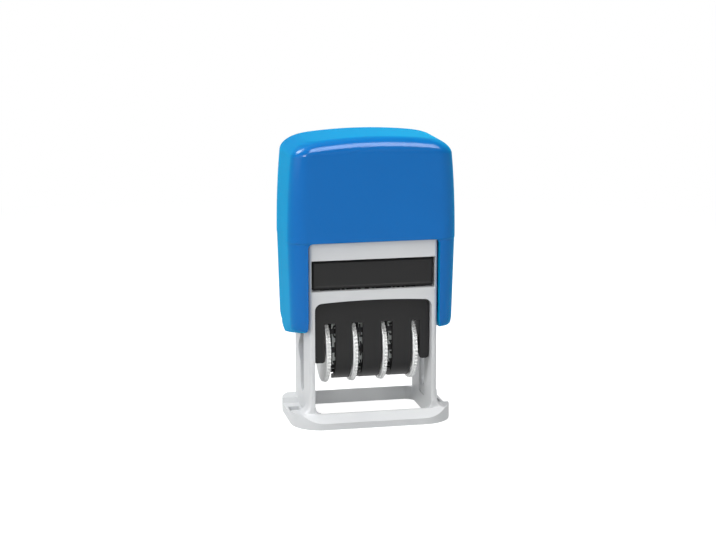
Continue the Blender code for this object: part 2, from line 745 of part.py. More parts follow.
def build_band(name, places, parts, material, parent):
    """An endless rubber band with a raised block for each character, one of them on the nose."""
    low, high = places[name]
    runs = belt_path(band_circles())
    length = sum(run[-1] for run in runs)
    pitch = length / type_count
    nose_middle = sum(run[-1] for run in runs[:3]) + runs[3][-1] / 2
    block = pitch * (1 - type_gap_share)
    stations = []
    for index in range(type_count):
        start = nose_middle - block / 2 + index * pitch
        for step in range(points_per_type + 1):
            stations.append((start + block * step / points_per_type, band_thickness + type_height))
        stations.append((start + block, band_thickness))
        stations.append((start + pitch, band_thickness))
    bm = bmesh.new()
    rings = []
    for distance, height in stations:
        (y, z), angle = walk(runs, distance)
        outer = (y + height * math.cos(angle), z + height * math.sin(angle))
        rings.append([bm.verts.new(place) for place in
                      ((low, y, z), (high, y, z), (high, *outer), (low, *outer))])
    for index, ring in enumerate(rings):
        after = rings[(index + 1) % len(rings)]
        for corner in range(4):
            following = (corner + 1) % 4
            if ring[corner].co != after[corner].co or ring[following].co != after[following].co:
                bm.faces.new((ring[corner], ring[following], after[following], after[corner]))
    band = mesh_object(name, bm, parts)
    return finish(band, name, material, (0, 0, pivot_z), parent)


# Date unit: the pieces that carry the wheel line


def build_cheek(side, parts, guides, material, parent):
    """A side cheek with bores for the cap's pin, axle and tie rod, and its cam peg."""
    word = "left" if side < 0 else "right"
    front_y = cover_back_y + gap
    top_z = chamber_top_z - cheek_top_drop
    bottom_z = axle_z - cheek_bottom_drop
    corners = [(front_y, axle_z - cheek_toe_front, cheek_round),
               (axle_y - cheek_toe_front, bottom_z, cheek_round),
               (axle_y + cheek_toe_back, bottom_z, cheek_round),
               (cheek_back_reach, pivot_z - cheek_toe_back, cheek_round),
               (cheek_back_reach, pivot_z + cheek_shoulder_rise + cheek_round, cheek_round),
               (cheek_shoulder_reach, top_z, cheek_round), (front_y, top_z, cheek_round)]
    near = side * cheek_inner_x
    far = side * cheek_outer_x
    cheek = prism("cheek_" + word, rounded(corners), "X", near, far, parts)
    tie_y, tie_z = tie_place()
    for label, radius, y, z in (("pin", slot_half_width, 0, pivot_z), ("axle", bore_radius, axle_y, axle_z),
                                ("tie", tie_radius + axle_bore_gap, tie_y, tie_z)):
        bore = cylinder(label + "_bore_" + word, radius, (near - side * overrun, y, z),
                        (far + side * overrun, y, z), guides)
        combine(cheek, as_guide(bore), "DIFFERENCE")
    peg = cylinder("cam_peg_" + word, follower_radius, (far - side * weld, 0, pivot_z - follower_arm),
                   (side * (wall_outer_x - groove_depth), 0, pivot_z - follower_arm), guides, peg_facets)
    combine(cheek, as_guide(peg), "UNION")
    return finish(cheek, "cheek_" + word, material, (0, 0, pivot_z), parent)


def tie_place():
    """Where the rod that ties the cheeks together runs, behind the pivot."""
    return tie_back, pivot_z + tie_rise


def cover_front_outline(places):
    """Front view of the cover: crowned top, outer legs, tongues and the slots between."""
    half = cheek_outer_x
    side_z = chamber_top_z - chamber_crown - cover_top_gap
    top = crowned_top(half, side_z, chamber_crown, cover_corner_radius, cover_leg_bottom_z)
    slot_top = axle_z + wheel_radius + slot_top_gap
    tongue_z = axle_z - wheel_radius - overrun
    first, *_, last = band_of_wheel
    tongue_end = (tongue_z, 0)
    leg_end = (cover_leg_bottom_z, cover_leg_round)
    lower = [(-half, *leg_end)]
    for wheel in band_of_wheel:
        low, high = places[wheel]
        left = low - slot_left_margin
        right = high + (slot_last_margin if wheel == last else slot_right_margin)
        lower += [(left, *(leg_end if wheel == first else tongue_end)), (left, slot_top, slot_round),
                  (right, slot_top, slot_round), (right, *(leg_end if wheel == last else tongue_end))]
    lower.append((half, *leg_end))
    ends = [(-half, side_z - cover_corner_radius, 0)] + lower + [(half, side_z - cover_corner_radius, 0)]
    return rounded(ends, 3)[1:-1] + top[1:-1]


def build_cover(places, parts, guides, material, parent):
    """The slotted black front, flat above and curling under the bands below."""
    top_z = chamber_top_z + overrun
    end = math.pi + cover_tongue_angle
    outer = arc((axle_y, axle_z), cover_radius, math.pi, end, 3 * arc_steps)
    inner = arc((axle_y, axle_z), cover_radius - cover_thickness, end, math.pi, 3 * arc_steps)
    side_view = [(cover_y, top_z)] + outer + inner + [(cover_back_y, top_z)]
    past = cheek_outer_x + overrun
    cover = prism("front_cover", side_view, "X", -past, past, parts)
    front = prism("cover_front", cover_front_outline(places), "Y", cover_y - overrun, overrun, guides)
    combine(cover, as_guide(front), "INTERSECT")
    return finish(cover, "front_cover", material, (0, 0, pivot_z), parent)


def build_bridge(parts, material, parent):
    """The bar inside the bands, whose nose backs the type that prints."""
    half = cheek_inner_x - gap
    nose_radius_inside = nose_radius - gap
    top_z = nose_z + nose_radius_inside
    head_half = nose_half_flat + nose_radius_inside
    waist_half = bridge_waist / 2
    neck_z = top_z - bridge_head
    low_z = top_z - bridge_depth
    slant_z = neck_z - (head_half - waist_half)
    corners = [(-waist_half, low_z, 0), (waist_half, low_z, 0), (waist_half, slant_z, 0),
               (head_half, neck_z, 0), (head_half, top_z, nose_radius_inside),
               (-head_half, top_z, nose_radius_inside), (-head_half, neck_z, 0), (-waist_half, slant_z, 0)]
    bridge = prism("band_bridge", rounded(corners), "X", -half, half, parts)
    return finish(bridge, "band_bridge", material, (0, 0, pivot_z), parent)


def build_rods(places, parts, guides, steel, plastic, parent):
    """The wheel axle, the tie rod and the two spacers at the ends of the wheel line."""
    end = cheek_outer_x - gap
    axle = cylinder("wheel_axle", axle_radius, (-end, axle_y, axle_z), (end, axle_y, axle_z), parts)
    finish(axle, "wheel_axle", steel, (0, axle_y, axle_z), parent)
    tie_y, tie_z = tie_place()
    tie = cylinder("tie_rod", tie_radius, (-end, tie_y, tie_z), (end, tie_y, tie_z), parts)
    finish(tie, "tie_rod", steel, (0, tie_y, tie_z), parent)
    spans = {"axle_spacer_left": (-cheek_inner_x + gap, places["wheel_1"][0] - gap),
             "axle_spacer_right": (places["wheel_4"][1] + gap, cheek_inner_x - gap)}
    for name, (low, high) in spans.items():
        spacer = cylinder(name, spacer_radius, (low, axle_y, axle_z), (high, axle_y, axle_z), parts)
        bore = cylinder(name + "_bore", bore_radius, (low - overrun, axle_y, axle_z),
                        (high + overrun, axle_y, axle_z), guides)
        combine(spacer, as_guide(bore), "DIFFERENCE")
        finish(spacer, name, plastic, (0, axle_y, axle_z), parent)


def build_date_unit(parts, guides, materials):
    """Everything that turns over about the cap's pins."""
    pivot = bpy.data.objects.new("date_unit_pivot", None)
    parts.objects.link(pivot)
    pivot.location = (0, 0, pivot_z)
    places = wheel_line()
    for side in (-1, 1):
        build_cheek(side, parts, guides, materials["black"], pivot)
    build_cover(places, parts, guides, materials["black"], pivot)
    build_bridge(parts, materials["black"], pivot)
    build_rods(places, parts, guides, materials["steel"], materials["white"], pivot)
    for name, band in band_of_wheel.items():
        build_wheel(name, places, parts, guides, materials["white"], pivot)
        build_band(band, places, parts, materials["rubber"], pivot)


def main():
    """Build the whole stamp."""
    clear_scene()
    parts = new_collection("date_stamp")
    guides = new_collection("date_stamp_cutters")
    materials = {
        "blue": principled("blue_abs", blue_plastic, 0.35),
        "grey": principled("grey_abs", grey_plastic, 0.5),
        "black": principled("black_abs", black_plastic, 0.5),
        "white": principled("white_acetal", white_plastic, 0.45),
        "rubber": principled("band_rubber", dark_rubber, 0.8),
        "felt": principled("inked_felt", ink_felt, 0.9),
        "steel": principled("spring_steel", bright_steel, 0.3, 1.0),
    }
    build_frame(parts, guides, materials["grey"])
    build_cap(parts, guides, materials["blue"])
    build_spring(parts, materials["steel"])
    build_ink_pad(parts, guides, materials["black"], materials["felt"])
    build_date_unit(parts, guides, materials)


main()
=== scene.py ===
# %% [markdown]
# # A self-inking date stamp, dressed for the camera
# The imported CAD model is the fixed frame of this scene: every solid, joint and size comes
# from it. This lesson builds the looks round it. Pieces whose CAD shape is plain are made
# again with finer forms, and all the others get a procedural material.
# Everything is in metres, +Z is up, and -Y faces the person who reads the date wheels.

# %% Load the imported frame
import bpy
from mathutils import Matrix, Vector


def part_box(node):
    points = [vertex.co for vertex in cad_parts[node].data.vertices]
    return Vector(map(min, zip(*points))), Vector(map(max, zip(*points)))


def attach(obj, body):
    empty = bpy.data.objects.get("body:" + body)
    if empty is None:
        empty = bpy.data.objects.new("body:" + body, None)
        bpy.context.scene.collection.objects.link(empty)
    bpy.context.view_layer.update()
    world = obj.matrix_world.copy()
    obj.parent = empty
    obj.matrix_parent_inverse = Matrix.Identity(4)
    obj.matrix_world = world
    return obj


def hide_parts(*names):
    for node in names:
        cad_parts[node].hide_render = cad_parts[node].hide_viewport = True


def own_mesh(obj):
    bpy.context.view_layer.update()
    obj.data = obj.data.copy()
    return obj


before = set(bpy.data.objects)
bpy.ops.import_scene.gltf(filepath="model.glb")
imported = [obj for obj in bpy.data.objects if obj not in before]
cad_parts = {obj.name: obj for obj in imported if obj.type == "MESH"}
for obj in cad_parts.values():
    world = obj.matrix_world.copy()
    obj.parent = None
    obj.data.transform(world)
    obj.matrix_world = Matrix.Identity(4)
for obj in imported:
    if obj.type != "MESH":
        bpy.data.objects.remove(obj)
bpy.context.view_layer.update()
print("solids in the frame:", len(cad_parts))

# %% Modules and the millimetre
import math

import bmesh
import bpy
from mathutils import Vector

MM = 0.001


def mm(*sizes):
    """Sizes in millimetres as metres."""
    return [size * MM for size in sizes]


def in_mm(*sizes):
    """Sizes in metres as rounded millimetres, to print."""
    return [round(size / MM, 2) for size in sizes]


# %% [markdown]
# ## Small tools
# Modelling by hand means: add a primitive, go to edit mode, select something, apply an
# operator. In a script the selecting is done by asking each face, edge or corner where it
# lies. These few helpers keep that readable. An operator acts on all that is selected, and
# the loaded frame is selected, so each piece starts from an empty selection.

# %% Select a piece, and parts of it
def deselect():
    """Leave edit mode, with nothing selected."""
    if bpy.context.object and bpy.context.object.mode != "OBJECT":
        bpy.ops.object.mode_set(mode="OBJECT")
    bpy.ops.object.select_all(action="DESELECT")


def select_alone(piece):
    """Select one piece and make it the active one."""
    deselect()
    piece.select_set(True)
    bpy.context.view_layer.objects.active = piece


def open_piece(piece):
    """Enter edit mode on one piece."""
    select_alone(piece)
    bpy.ops.object.mode_set(mode="EDIT")


def close_piece():
    """Back to object mode."""
    bpy.ops.object.mode_set(mode="OBJECT")
    return bpy.context.object


def pick(kind, test=lambda element: True):
    """Select the vertices, edges or faces of the open piece that pass a test, or all."""
    bpy.ops.mesh.select_mode(type=kind)
    bpy.ops.mesh.select_all(action="DESELECT")
    mesh = bmesh.from_edit_mesh(bpy.context.object.data)
    mesh.normal_update()
    for element in {"VERT": mesh.verts, "EDGE": mesh.edges, "FACE": mesh.faces}[kind]:
        if test(element):
            element.select_set(True)
    bmesh.update_edit_mesh(bpy.context.object.data)


def middle(element):
    """The middle of an edge or a face."""
    if isinstance(element, bmesh.types.BMFace):
        return element.calc_center_median()
    return (element.verts[0].co + element.verts[1].co) / 2


def run_along(edge, axis):
    """How far an edge runs along an axis."""
    return abs(edge.verts[0].co[axis] - edge.verts[1].co[axis])


def facing(direction, share=0.99):
    """A test for faces whose normal points along a direction."""
    way = Vector(direction)
    return lambda face: face.normal.dot(way) > share


print("selection tools: one piece is open at a time")

# %% Shape the open piece
X, Y, Z = range(3)


def extrude(x, y, z):
    """Extrude the selection along a vector."""
    bpy.ops.mesh.extrude_region_move(TRANSFORM_OT_translate={"value": (x, y, z)})


def inset(thickness, depth=0):
    """Inset the selected faces, and push them in or out."""
    bpy.ops.mesh.inset(thickness=thickness, depth=depth)


def bevel(offset, segments, affect="EDGES"):
    """Round the selected edges or corners."""
    bpy.ops.mesh.bevel(offset=offset, segments=segments, affect=affect)


def move_corners(rule):
    """Let a rule move every corner of the open piece."""
    mesh = bmesh.from_edit_mesh(bpy.context.object.data)
    for vertex in mesh.verts:
        rule(vertex.co)
    bmesh.update_edit_mesh(bpy.context.object.data)


def merge_flat(degrees):
    """Merge doubles of the open piece, and dissolve its flat faces back into one."""
    pick("VERT")
    bpy.ops.mesh.remove_doubles(threshold=0.004 * MM)
    pick("FACE")
    bpy.ops.mesh.dissolve_limited(angle_limit=math.radians(degrees))


print("axes by number:", X, Y, Z)

# %% Start, combine and finish pieces
def new_piece(name, kind, **settings):
    """Add a primitive with nothing else selected, and name it."""
    deselect()
    getattr(bpy.ops.mesh, "primitive_" + kind + "_add")(**settings)
    piece = bpy.context.object
    piece.name = name
    piece.data.name = name
    return piece


def settle(piece):
    """Put the object's place, turn and size into its mesh."""
    select_alone(piece)
    bpy.ops.object.transform_apply(location=True, rotation=True, scale=True)
    return piece


def block(name, low, high):
    """A box between two corners, as a start for a piece or a cutter."""
    low, high = Vector(low), Vector(high)
    piece = new_piece(name, "cube", size=1, location=(low + high) / 2)
    piece.scale = high - low
    return settle(piece)


def bar(name, radius, start, end, sides=48):
    """A round bar between two points."""
    start, end = Vector(start), Vector(end)
    turn = Vector((0, 0, 1)).rotation_difference(end - start).to_euler()
    return settle(new_piece(name, "cylinder", vertices=sides, radius=radius,
                            depth=(end - start).length, location=(start + end) / 2,
                            rotation=turn))


def add_modifier(piece, kind, **settings):
    """Add a modifier, set it up and apply it."""
    select_alone(piece)
    bpy.ops.object.modifier_add(type=kind)
    modifier = piece.modifiers[-1]
    for name, value in settings.items():
        setattr(modifier, name, value)
    bpy.ops.object.modifier_apply(modifier=modifier.name)


def combine(piece, other, operation):
    """A Boolean with another closed piece, which is used up."""
    add_modifier(piece, "BOOLEAN", object=other, operation=operation, solver="MANIFOLD")
    bpy.data.objects.remove(other, do_unlink=True)


def cut(piece, cutter):
    """Take the cutter's shape out of a piece."""
    combine(piece, cutter, "DIFFERENCE")


def weld(piece, other):
    """Make another shape part of a piece."""
    combine(piece, other, "UNION")


def join(pieces):
    """Make several objects one."""
    select_alone(pieces[0])
    for piece in pieces:
        piece.select_set(True)
    bpy.ops.object.join()
    return pieces[0]


def twin(source, name):
    """A new piece with its own copy of another's mesh."""
    piece = bpy.data.objects.new(name, source.data.copy())
    piece.data.name = name
    bpy.context.scene.collection.objects.link(piece)
    return piece


def outward(piece):
    """Merge doubles and turn every face outwards."""
    open_piece(piece)
    pick("VERT")
    bpy.ops.mesh.remove_doubles(threshold=0.002 * MM)
    bpy.ops.mesh.normals_make_consistent(inside=False)
    return close_piece()


def round_edges(piece, width, segments, degrees, **settings):
    """Round all edges that are sharper than an angle."""
    add_modifier(piece, "BEVEL", width=width, segments=segments, limit_method="ANGLE",
                 angle_limit=math.radians(degrees), **settings)


def smooth(piece, degrees):
    """Smooth shading that keeps edges sharper than an angle."""
    select_alone(piece)
    bpy.ops.object.shade_smooth_by_angle(angle=math.radians(degrees))


def crisp(piece, degrees):
    """Smooth shading in which large flat faces stay flat up to their rounded edges."""
    smooth(piece, degrees)
    add_modifier(piece, "WEIGHTED_NORMAL", weight=80, keep_sharp=True)


def dress(piece, *materials):
    """Give a piece its materials, in place of any it had."""
    piece.data.materials.clear()
    for material in materials:
        piece.data.materials.append(material)


def report(piece):
    """Print a piece's size and faces."""
    piece.data.calc_loop_triangles()
    print(piece.name, "mm:", in_mm(*piece.dimensions),
          "triangles:", len(piece.data.loop_triangles))


# %% [markdown]
# ## Materials
# A stamp is mostly injection-moulded plastic. Each material below starts from the real one
# and says what its surface gives the eye. Colours are written as sRGB hex values, as read
# off a colour chart, and one function turns them into the linear values that the shader
# wants. Grain sizes are real sizes in millimetres, turned into a noise scale. All finishes
# share one small network, because all of them vary in tone and in gloss: only the sizes
# and strengths differ.

# %% Colour and node helpers
def linear(code):
    """A hex colour as linear RGBA."""
    channels = [int(code[place:place + 2], 16) / 255 for place in (1, 3, 5)]
    return (*[c / 12.92 if c <= 0.04045 else ((c + 0.055) / 1.055) ** 2.4
              for c in channels], 1.0)


def add_node(tree, kind, settings=None, values=None, links=None):
    """Add a node, set its fields and sockets, and link its inputs."""
    node = tree.nodes.new(kind)
    for name, value in (settings or {}).items():
        setattr(node, name, value)
    for name, value in (values or {}).items():
        node.inputs[name].default_value = value
    for name, source in (links or {}).items():
        tree.links.new(source, node.inputs[name])
    return node


def start_material(name):
    """A new material with a plain Principled shader, its tree and its object coordinates."""
    material = bpy.data.materials.new(name)
    material.use_nodes = True
    tree = material.node_tree
    shader = tree.nodes["Principled BSDF"]
    place = add_node(tree, "ShaderNodeTexCoord").outputs["Object"]
    return material, tree, shader, place


print("#808080 in linear light:", round(linear("#808080")[0], 3))


# %% One network for every finish
def surface(name, colours, tone, fine, rough, bump=None, sockets=None):
    """A broad noise varies the tone between two colours, a fine one the gloss and the bump.

    A noise is a cell size in mm, a detail and a roughness. A bump is a depth in mm and a
    strength."""
    material, tree, shader, place = start_material(name)
    broad_fac, fine_fac = [
        add_node(tree, "ShaderNodeTexNoise", links={"Vector": place},
                 values={"Scale": 1 / (cell * MM), "Detail": detail,
                         "Roughness": roughness}).outputs["Fac"]
        for cell, detail, roughness in (tone, fine)]
    ramp = add_node(tree, "ShaderNodeValToRGB", links={"Fac": broad_fac})
    for stop, position, code in zip(ramp.color_ramp.elements, (0.35, 0.65), colours):
        stop.position = position
        stop.color = linear(code)
    tree.links.new(ramp.outputs["Color"], shader.inputs["Base Color"])
    spread = add_node(tree, "ShaderNodeMapRange", links={"Value": fine_fac},
                      values={"To Min": rough[0], "To Max": rough[1]})
    tree.links.new(spread.outputs["Result"], shader.inputs["Roughness"])
    if bump:
        grain = add_node(tree, "ShaderNodeBump", links={"Height": fine_fac},
                         values={"Strength": bump[1], "Distance": bump[0] * MM})
        tree.links.new(grain.outputs["Normal"], shader.inputs["Normal"])
    for socket, value in (sockets or {}).items():
        shader.inputs[socket].default_value = value
    return material


# %% Moulded ABS, three colours
abs_ior = 1.53
satin_flow = (9.0, 1.0, 0.5)
# Polished mould: a glossy blue with a few soft, window-like reflections and hardly any
# grain. The dye scatters some light just under the skin, and the cyan sheen stands for it.
blue_abs = surface("blue_abs_polished", ("#0064B3", "#0066B6"), tone=(14.0, 1.0, 0.5),
                  fine=(0.5, 3.0, 0.6), rough=(0.25, 0.29), bump=(0.001, 0.05),
                  sockets={"IOR": abs_ior, "Specular IOR Level": 0.0,
                           "Coat Weight": 0.10, "Coat IOR": 2.4, "Coat Roughness": 0.16,
                           "Sheen Weight": 0.75, "Sheen Roughness": 0.5,
                           "Sheen Tint": linear("#00D8FF")})
# Spark-eroded mould: a satin light grey whose fine grain kills sharp reflections. Such a
# grain is about 0.05 mm; here and below it is drawn coarser, so that it shows.
grey_abs = surface("grey_abs_satin", ("#CBCDCF", "#D0D2D3"), tone=satin_flow,
                  fine=(0.22, 3.0, 0.6), rough=(0.42, 0.52), bump=(0.006, 0.30),
                  sockets={"IOR": abs_ior})
# The same satin grain in black, which shows as a faint lighter speckle.
black_abs = surface("black_abs_satin", ("#161617", "#1A1A1A"), tone=satin_flow,
                   fine=(0.25, 3.0, 0.6), rough=(0.40, 0.52), bump=(0.008, 0.35),
                   sockets={"IOR": abs_ior, "Specular IOR Level": 0.25})
print("moulded:", blue_abs.name, grey_abs.name, black_abs.name)

# %% Acetal, rubber, felt and steel
# Acetal (POM): milky white with a waxy gloss and no grain.
white_acetal = surface("white_acetal_moulded", ("#ECEDEC", "#F2F3F2"), tone=(3.0, 1.0, 0.5),
                      fine=(0.4, 2.0, 0.5), rough=(0.30, 0.38), sockets={"IOR": 1.48})
# Vulcanised rubber: matt, with a dusty bloom that greys it in patches. The raised faces
# of the type's plinths are a light grey.
rubber = {"tone": (1.2, 4.0, 0.65), "fine": (0.12, 2.0, 0.5), "rough": (0.72, 0.86),
          "bump": (0.01, 0.4), "sockets": {"IOR": 1.52}}
band_rubber = surface("band_rubber_black", ("#1B1B1C", "#262728"), **rubber)
type_rubber = surface("band_rubber_type_face", ("#B0B7B4", "#CCD0CE"), **rubber)
# Ink-soaked needled felt: black, fibrous, with a wet sheen where the ink stands.
fibres = (0.35, 6.0, 0.75)
inked_felt = surface("inked_felt_needled", ("#0B0B10", "#1E1E26"), tone=fibres, fine=fibres,
                    rough=(0.45, 0.95), bump=(0.08, 0.9), sockets={"Sheen Weight": 0.25})
# Bright drawn wire: steel with a faint oil film, which blurs its mirror in patches.
spring_steel = surface("spring_steel_drawn", ("#A9ACAE", "#C3C6C8"), tone=(0.9, 3.0, 0.5),
                      fine=(0.15, 2.0, 0.5), rough=(0.22, 0.34), sockets={"Metallic": 1.0})
print("others:", white_acetal.name, band_rubber.name, inked_felt.name, spring_steel.name)


# %% [markdown]
# ## Places from the frame
# A piece that replaces a CAD node has to stay where that node is, so its main places are
# read off the nodes' boxes. What a box can't say, such as a radius in a corner, is named
# here with the same value as in the part's source.

# %% Main places
cap_half_x, cap_half_y, cap_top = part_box("cap")[1]
frame_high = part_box("frame")[1]
pad_low, pad_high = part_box("ink_pad_case")
felt_low, felt_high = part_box("ink_pad_felt")
spring_low, spring_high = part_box("press_spring")
axle_low, axle_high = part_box("wheel_axle")
axle_y = (axle_low.y + axle_high.y) / 2
axle_z = (axle_low.z + axle_high.z) / 2
axle_place = Vector((0, axle_y, axle_z))
ledge_z, pivot_z, leg_inner_x = mm(42.7, 23.5, 15.15)
overlap = 0.6 * MM  # how far a cutter or an added shape goes past the face it meets
print("axle y, z mm:", in_mm(axle_y, axle_z))
print("cap half width, half depth, top mm:", in_mm(cap_half_x, cap_half_y, cap_top))


# %% [markdown]
# ## Cap
# The cap is one blue moulding: a box with a crowned, rounded top, and two legs that reach
# down outside the frame and end in tongues. It could be a cube with bevels, but the ends
# are rounder than the front, and the legs narrow downwards. So it is drawn as a rounded
# rectangle and pulled up ring by ring: each ring is extruded, and then resized for the
# lean of the sides and the rounding of the top. The bottom face is pulled down the same
# way as far as the tips, and the window between the legs is cut at the end.

# %% A rounded rectangle to start from
def rounded_plate(name, half_x, half_y, z, corner, corner_steps=9, cuts=(23, 9)):
    """A flat face with round corners whose long edges are subdivided, left open."""
    plate = new_piece(name, "plane", size=2, location=(0, 0, z))
    plate.scale = (half_x, half_y, 1)
    open_piece(settle(plate))
    pick("VERT")
    bevel(corner, corner_steps, affect="VERTICES")
    for axis, half, count in ((Y, half_y, cuts[0]), (X, half_x, cuts[1])):
        pick("EDGE", lambda edge: edge.calc_length() > corner
             and abs(middle(edge)[axis]) > half * 0.999)
        bpy.ops.mesh.subdivide(number_cuts=count)
    pick("FACE")
    return plate


def pull(height, half_x, half_y):
    """Extrude the selected face and bring it to a new half width and half depth."""
    extrude(0, 0, height)
    mesh = bmesh.from_edit_mesh(bpy.context.object.data)
    chosen = [vertex.co for vertex in mesh.verts if vertex.select]
    wide, deep = (max(abs(place[axis]) for place in chosen) for axis in (X, Y))
    bpy.ops.transform.resize(value=(half_x / wide, half_y / deep, 1),
                             center_override=(0, 0, 0))


print("cap: rings of", 4 * 9 + 2 * 23 + 2 * 9 + 4, "corners")

# %% The crowned block
cap_lean, cap_crown = mm(1.15, 1.7)
side_levels = 6
edge_steps = 12
top_shares = (0.88, 0.74, 0.58, 0.42, 0.26, 0.12, 0.03)


def crowned_block(name, half_x, half_y, low_z, top_z, corner, edge, end):
    """A box with a rounded, crowned top, left open to be pulled on from its bottom."""
    piece = rounded_plate(name, half_x, half_y, low_z, corner)

    def leaned(z):
        return half_x - cap_lean * max(0, (z - ledge_z) / (cap_top - ledge_z)) ** 2

    shoulder = top_z - edge
    for level in range(side_levels):
        z = low_z + (shoulder - low_z) * (level + 1) / side_levels
        pull((shoulder - low_z) / side_levels, leaned(z), half_y)
    for step in range(edge_steps):
        now = math.pi / 2 * step / edge_steps
        after = math.pi / 2 * (step + 1) / edge_steps
        drawn_in = 1 - math.cos(after)
        z = shoulder + edge * math.sin(after)
        pull(edge * (math.sin(after) - math.sin(now)), leaned(z) - end * drawn_in,
             half_y - edge * drawn_in)
    for share in top_shares:
        pull(0, (leaned(top_z) - end) * share, (half_y - edge) * share)

    def crown(corner):
        height = max(0, (corner.z - low_z) / (top_z - low_z))
        corner.z -= cap_crown * (corner.x / cap_half_x) ** 2 * height ** 3

    move_corners(crown)
    return piece


print("cap: each side leans in by mm", *in_mm(cap_lean), "and the ends drop by", *in_mm(cap_crown))

# %% Pull the legs down
cap_corner, cap_edge, cap_end = mm(3.9, 3.4, 4.3)
leg_half_depth, leg_side_step, leg_draw = mm(10.4, 0.05, 0.5)
tongue_height, leg_low_z, crease_half = mm(4.3, 20.7, 0.3)
tongue_top = leg_low_z + tongue_height
crease_steps = 6
leg_steps = 9

cap = crowned_block("cap_shell", cap_half_x, cap_half_y, ledge_z + crease_half, cap_top,
                    cap_corner, cap_edge, cap_end)
pick("FACE", facing((0, 0, -1)))
for step in range(crease_steps):
    share = (step + 1) / crease_steps
    soft = share * share * (3 - 2 * share)
    pull(-2 * crease_half / crease_steps, cap_half_x - leg_side_step * soft,
         cap_half_y + (leg_half_depth - cap_half_y) * soft)
crease_end = ledge_z - crease_half
leg_top_x = cap_half_x - leg_side_step
for step in range(leg_steps):
    z = crease_end + (tongue_top - crease_end) * (step + 1) / leg_steps
    lean = leg_draw * (ledge_z - z) / (ledge_z - tongue_top)
    pull((tongue_top - crease_end) / leg_steps, leg_top_x - lean, leg_half_depth)
report(close_piece())

# %% Tongues
tip_steps = 18
tip_reach = 0.998  # a last ring a little short of the tip, so that it doesn't close
tip_straight = 0.55  # the share of the tongue below which its bottom starts to curve
tip_power = 1.8  # how square the bottom is
tip_outer = 1.6 * MM
tip_round = 0.62  # the share over which the outer corners turn under
open_piece(cap)
pick("FACE", lambda face: face.normal.z < -0.99 and middle(face).z < tongue_top + overlap)
z = tongue_top
for step in range(tip_steps):
    share = math.sin(math.pi / 2 * (step + 1) / tip_steps) * tip_reach
    curve = max(0, (share - tip_straight) / (1 - tip_straight))
    new_z = tongue_top - tongue_height * share
    pull(new_z - z, leg_top_x - leg_draw, leg_half_depth * (1 - curve ** tip_power))
    z = new_z


def turn_under(corner):
    """Round the outer edge of each tongue, most at its two corners."""
    share = min(tip_round, max(0, (tongue_top - corner.z) / tongue_height)) / tip_round
    corner_share = min(1, abs(corner.y) / leg_half_depth) ** 3
    depth = tip_outer * (1 - math.sqrt(1 - share ** 2)) * corner_share
    corner.x -= math.copysign(depth, corner.x)


move_corners(turn_under)
report(close_piece())

# %% [markdown]
# The window is a second closed shape. Its bottom widens downwards so that the inner edge
# of each tongue is rounded too. The hollow inside follows the outer form, one wall
# thickness in, and the legs are hollow above their tongues.

# %% Cut the window, the hollow and the legs
window_corner, inner_round, past_tip = mm(1.2, 1.5, 3)
window_y = cap_half_y + 4 * MM
widen_steps = 8
window = block("cap_window", (-leg_inner_x, -window_y, tongue_top),
               (leg_inner_x, window_y, ledge_z))
open_piece(window)
pick("EDGE", lambda edge: abs(middle(edge).x) > leg_inner_x * 0.99
     and middle(edge).z > ledge_z - 1e-6 and run_along(edge, Y) > window_y)
bevel(window_corner, 8)
pick("FACE", facing((0, 0, -1)))
for step in range(widen_steps):
    share = (step + 1) / widen_steps
    pull(-tongue_height / widen_steps, leg_inner_x + inner_round * share ** 3, window_y)
pull(-past_tip, leg_inner_x + inner_round, window_y)
close_piece()
cut(cap, window)

ceiling_z, side_wall, front_wall = mm(64.5, 1.5, 0.9)
hollow_corner, hollow_edge, hollow_end = mm(2.8, 2.2, 4.2)
hollow = crowned_block("cap_hollow", cap_half_x - side_wall, cap_half_y - front_wall,
                       ledge_z - overlap, ceiling_z, hollow_corner, hollow_edge, hollow_end)
close_piece()
cut(cap, hollow)
leg_wall_x, leg_wall_y, tip_floor = mm(1.4, 1.8, 4.4)
leg_hollow_x = cap_half_x - leg_side_step - leg_draw - leg_wall_x
leg_hollow_y = leg_half_depth - leg_wall_y
cut(cap, block("leg_hollow", (-leg_hollow_x, -leg_hollow_y, leg_low_z + tip_floor),
               (leg_hollow_x, leg_hollow_y, ledge_z + overlap)))
report(cap)

# %% Pins, bosses and the spring's post
pin_radius, boss_radius, post_radius, post_length = mm(1.7, 2.7, 4.5, 3.2)
pin_end_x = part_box("cheek_right")[1].x - 0.9 * MM
for side in (-1, 1):
    root = (side * (leg_hollow_x + overlap), 0, pivot_z)
    weld(cap, bar("pin_boss", boss_radius, root, (side * leg_inner_x, 0, pivot_z)))
    pin = bar("pin", pin_radius, root, (side * pin_end_x, 0, pivot_z))
    open_piece(pin)
    pick("EDGE", lambda edge: abs(abs(middle(edge).x) - pin_end_x) < 0.001 * MM)
    bevel(0.25 * MM, 3)
    close_piece()
    weld(cap, pin)
weld(cap, bar("spring_post", post_radius, (0, 0, ceiling_z - post_length),
              (0, 0, ceiling_z + overlap)))
outward(cap)
crisp(cap, 30)
dress(cap, blue_abs)
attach(cap, "cap")
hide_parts("cap")
report(cap)


# %% [markdown]
# ## Frame
# The light grey frame is one moulding: a low ring that stands on the paper and a tower of
# two slotted walls round the ink pad. The CAD solid has coarse corners, so it is made
# again here. The ring and the tower are rounded rectangles pulled up from below, and
# closed cutters open the ring, the chamber, the pad's tunnel and the cam slots. The front
# feet of the walls flare into the ring in a hollow curve, as a mould needs to fill a corner.

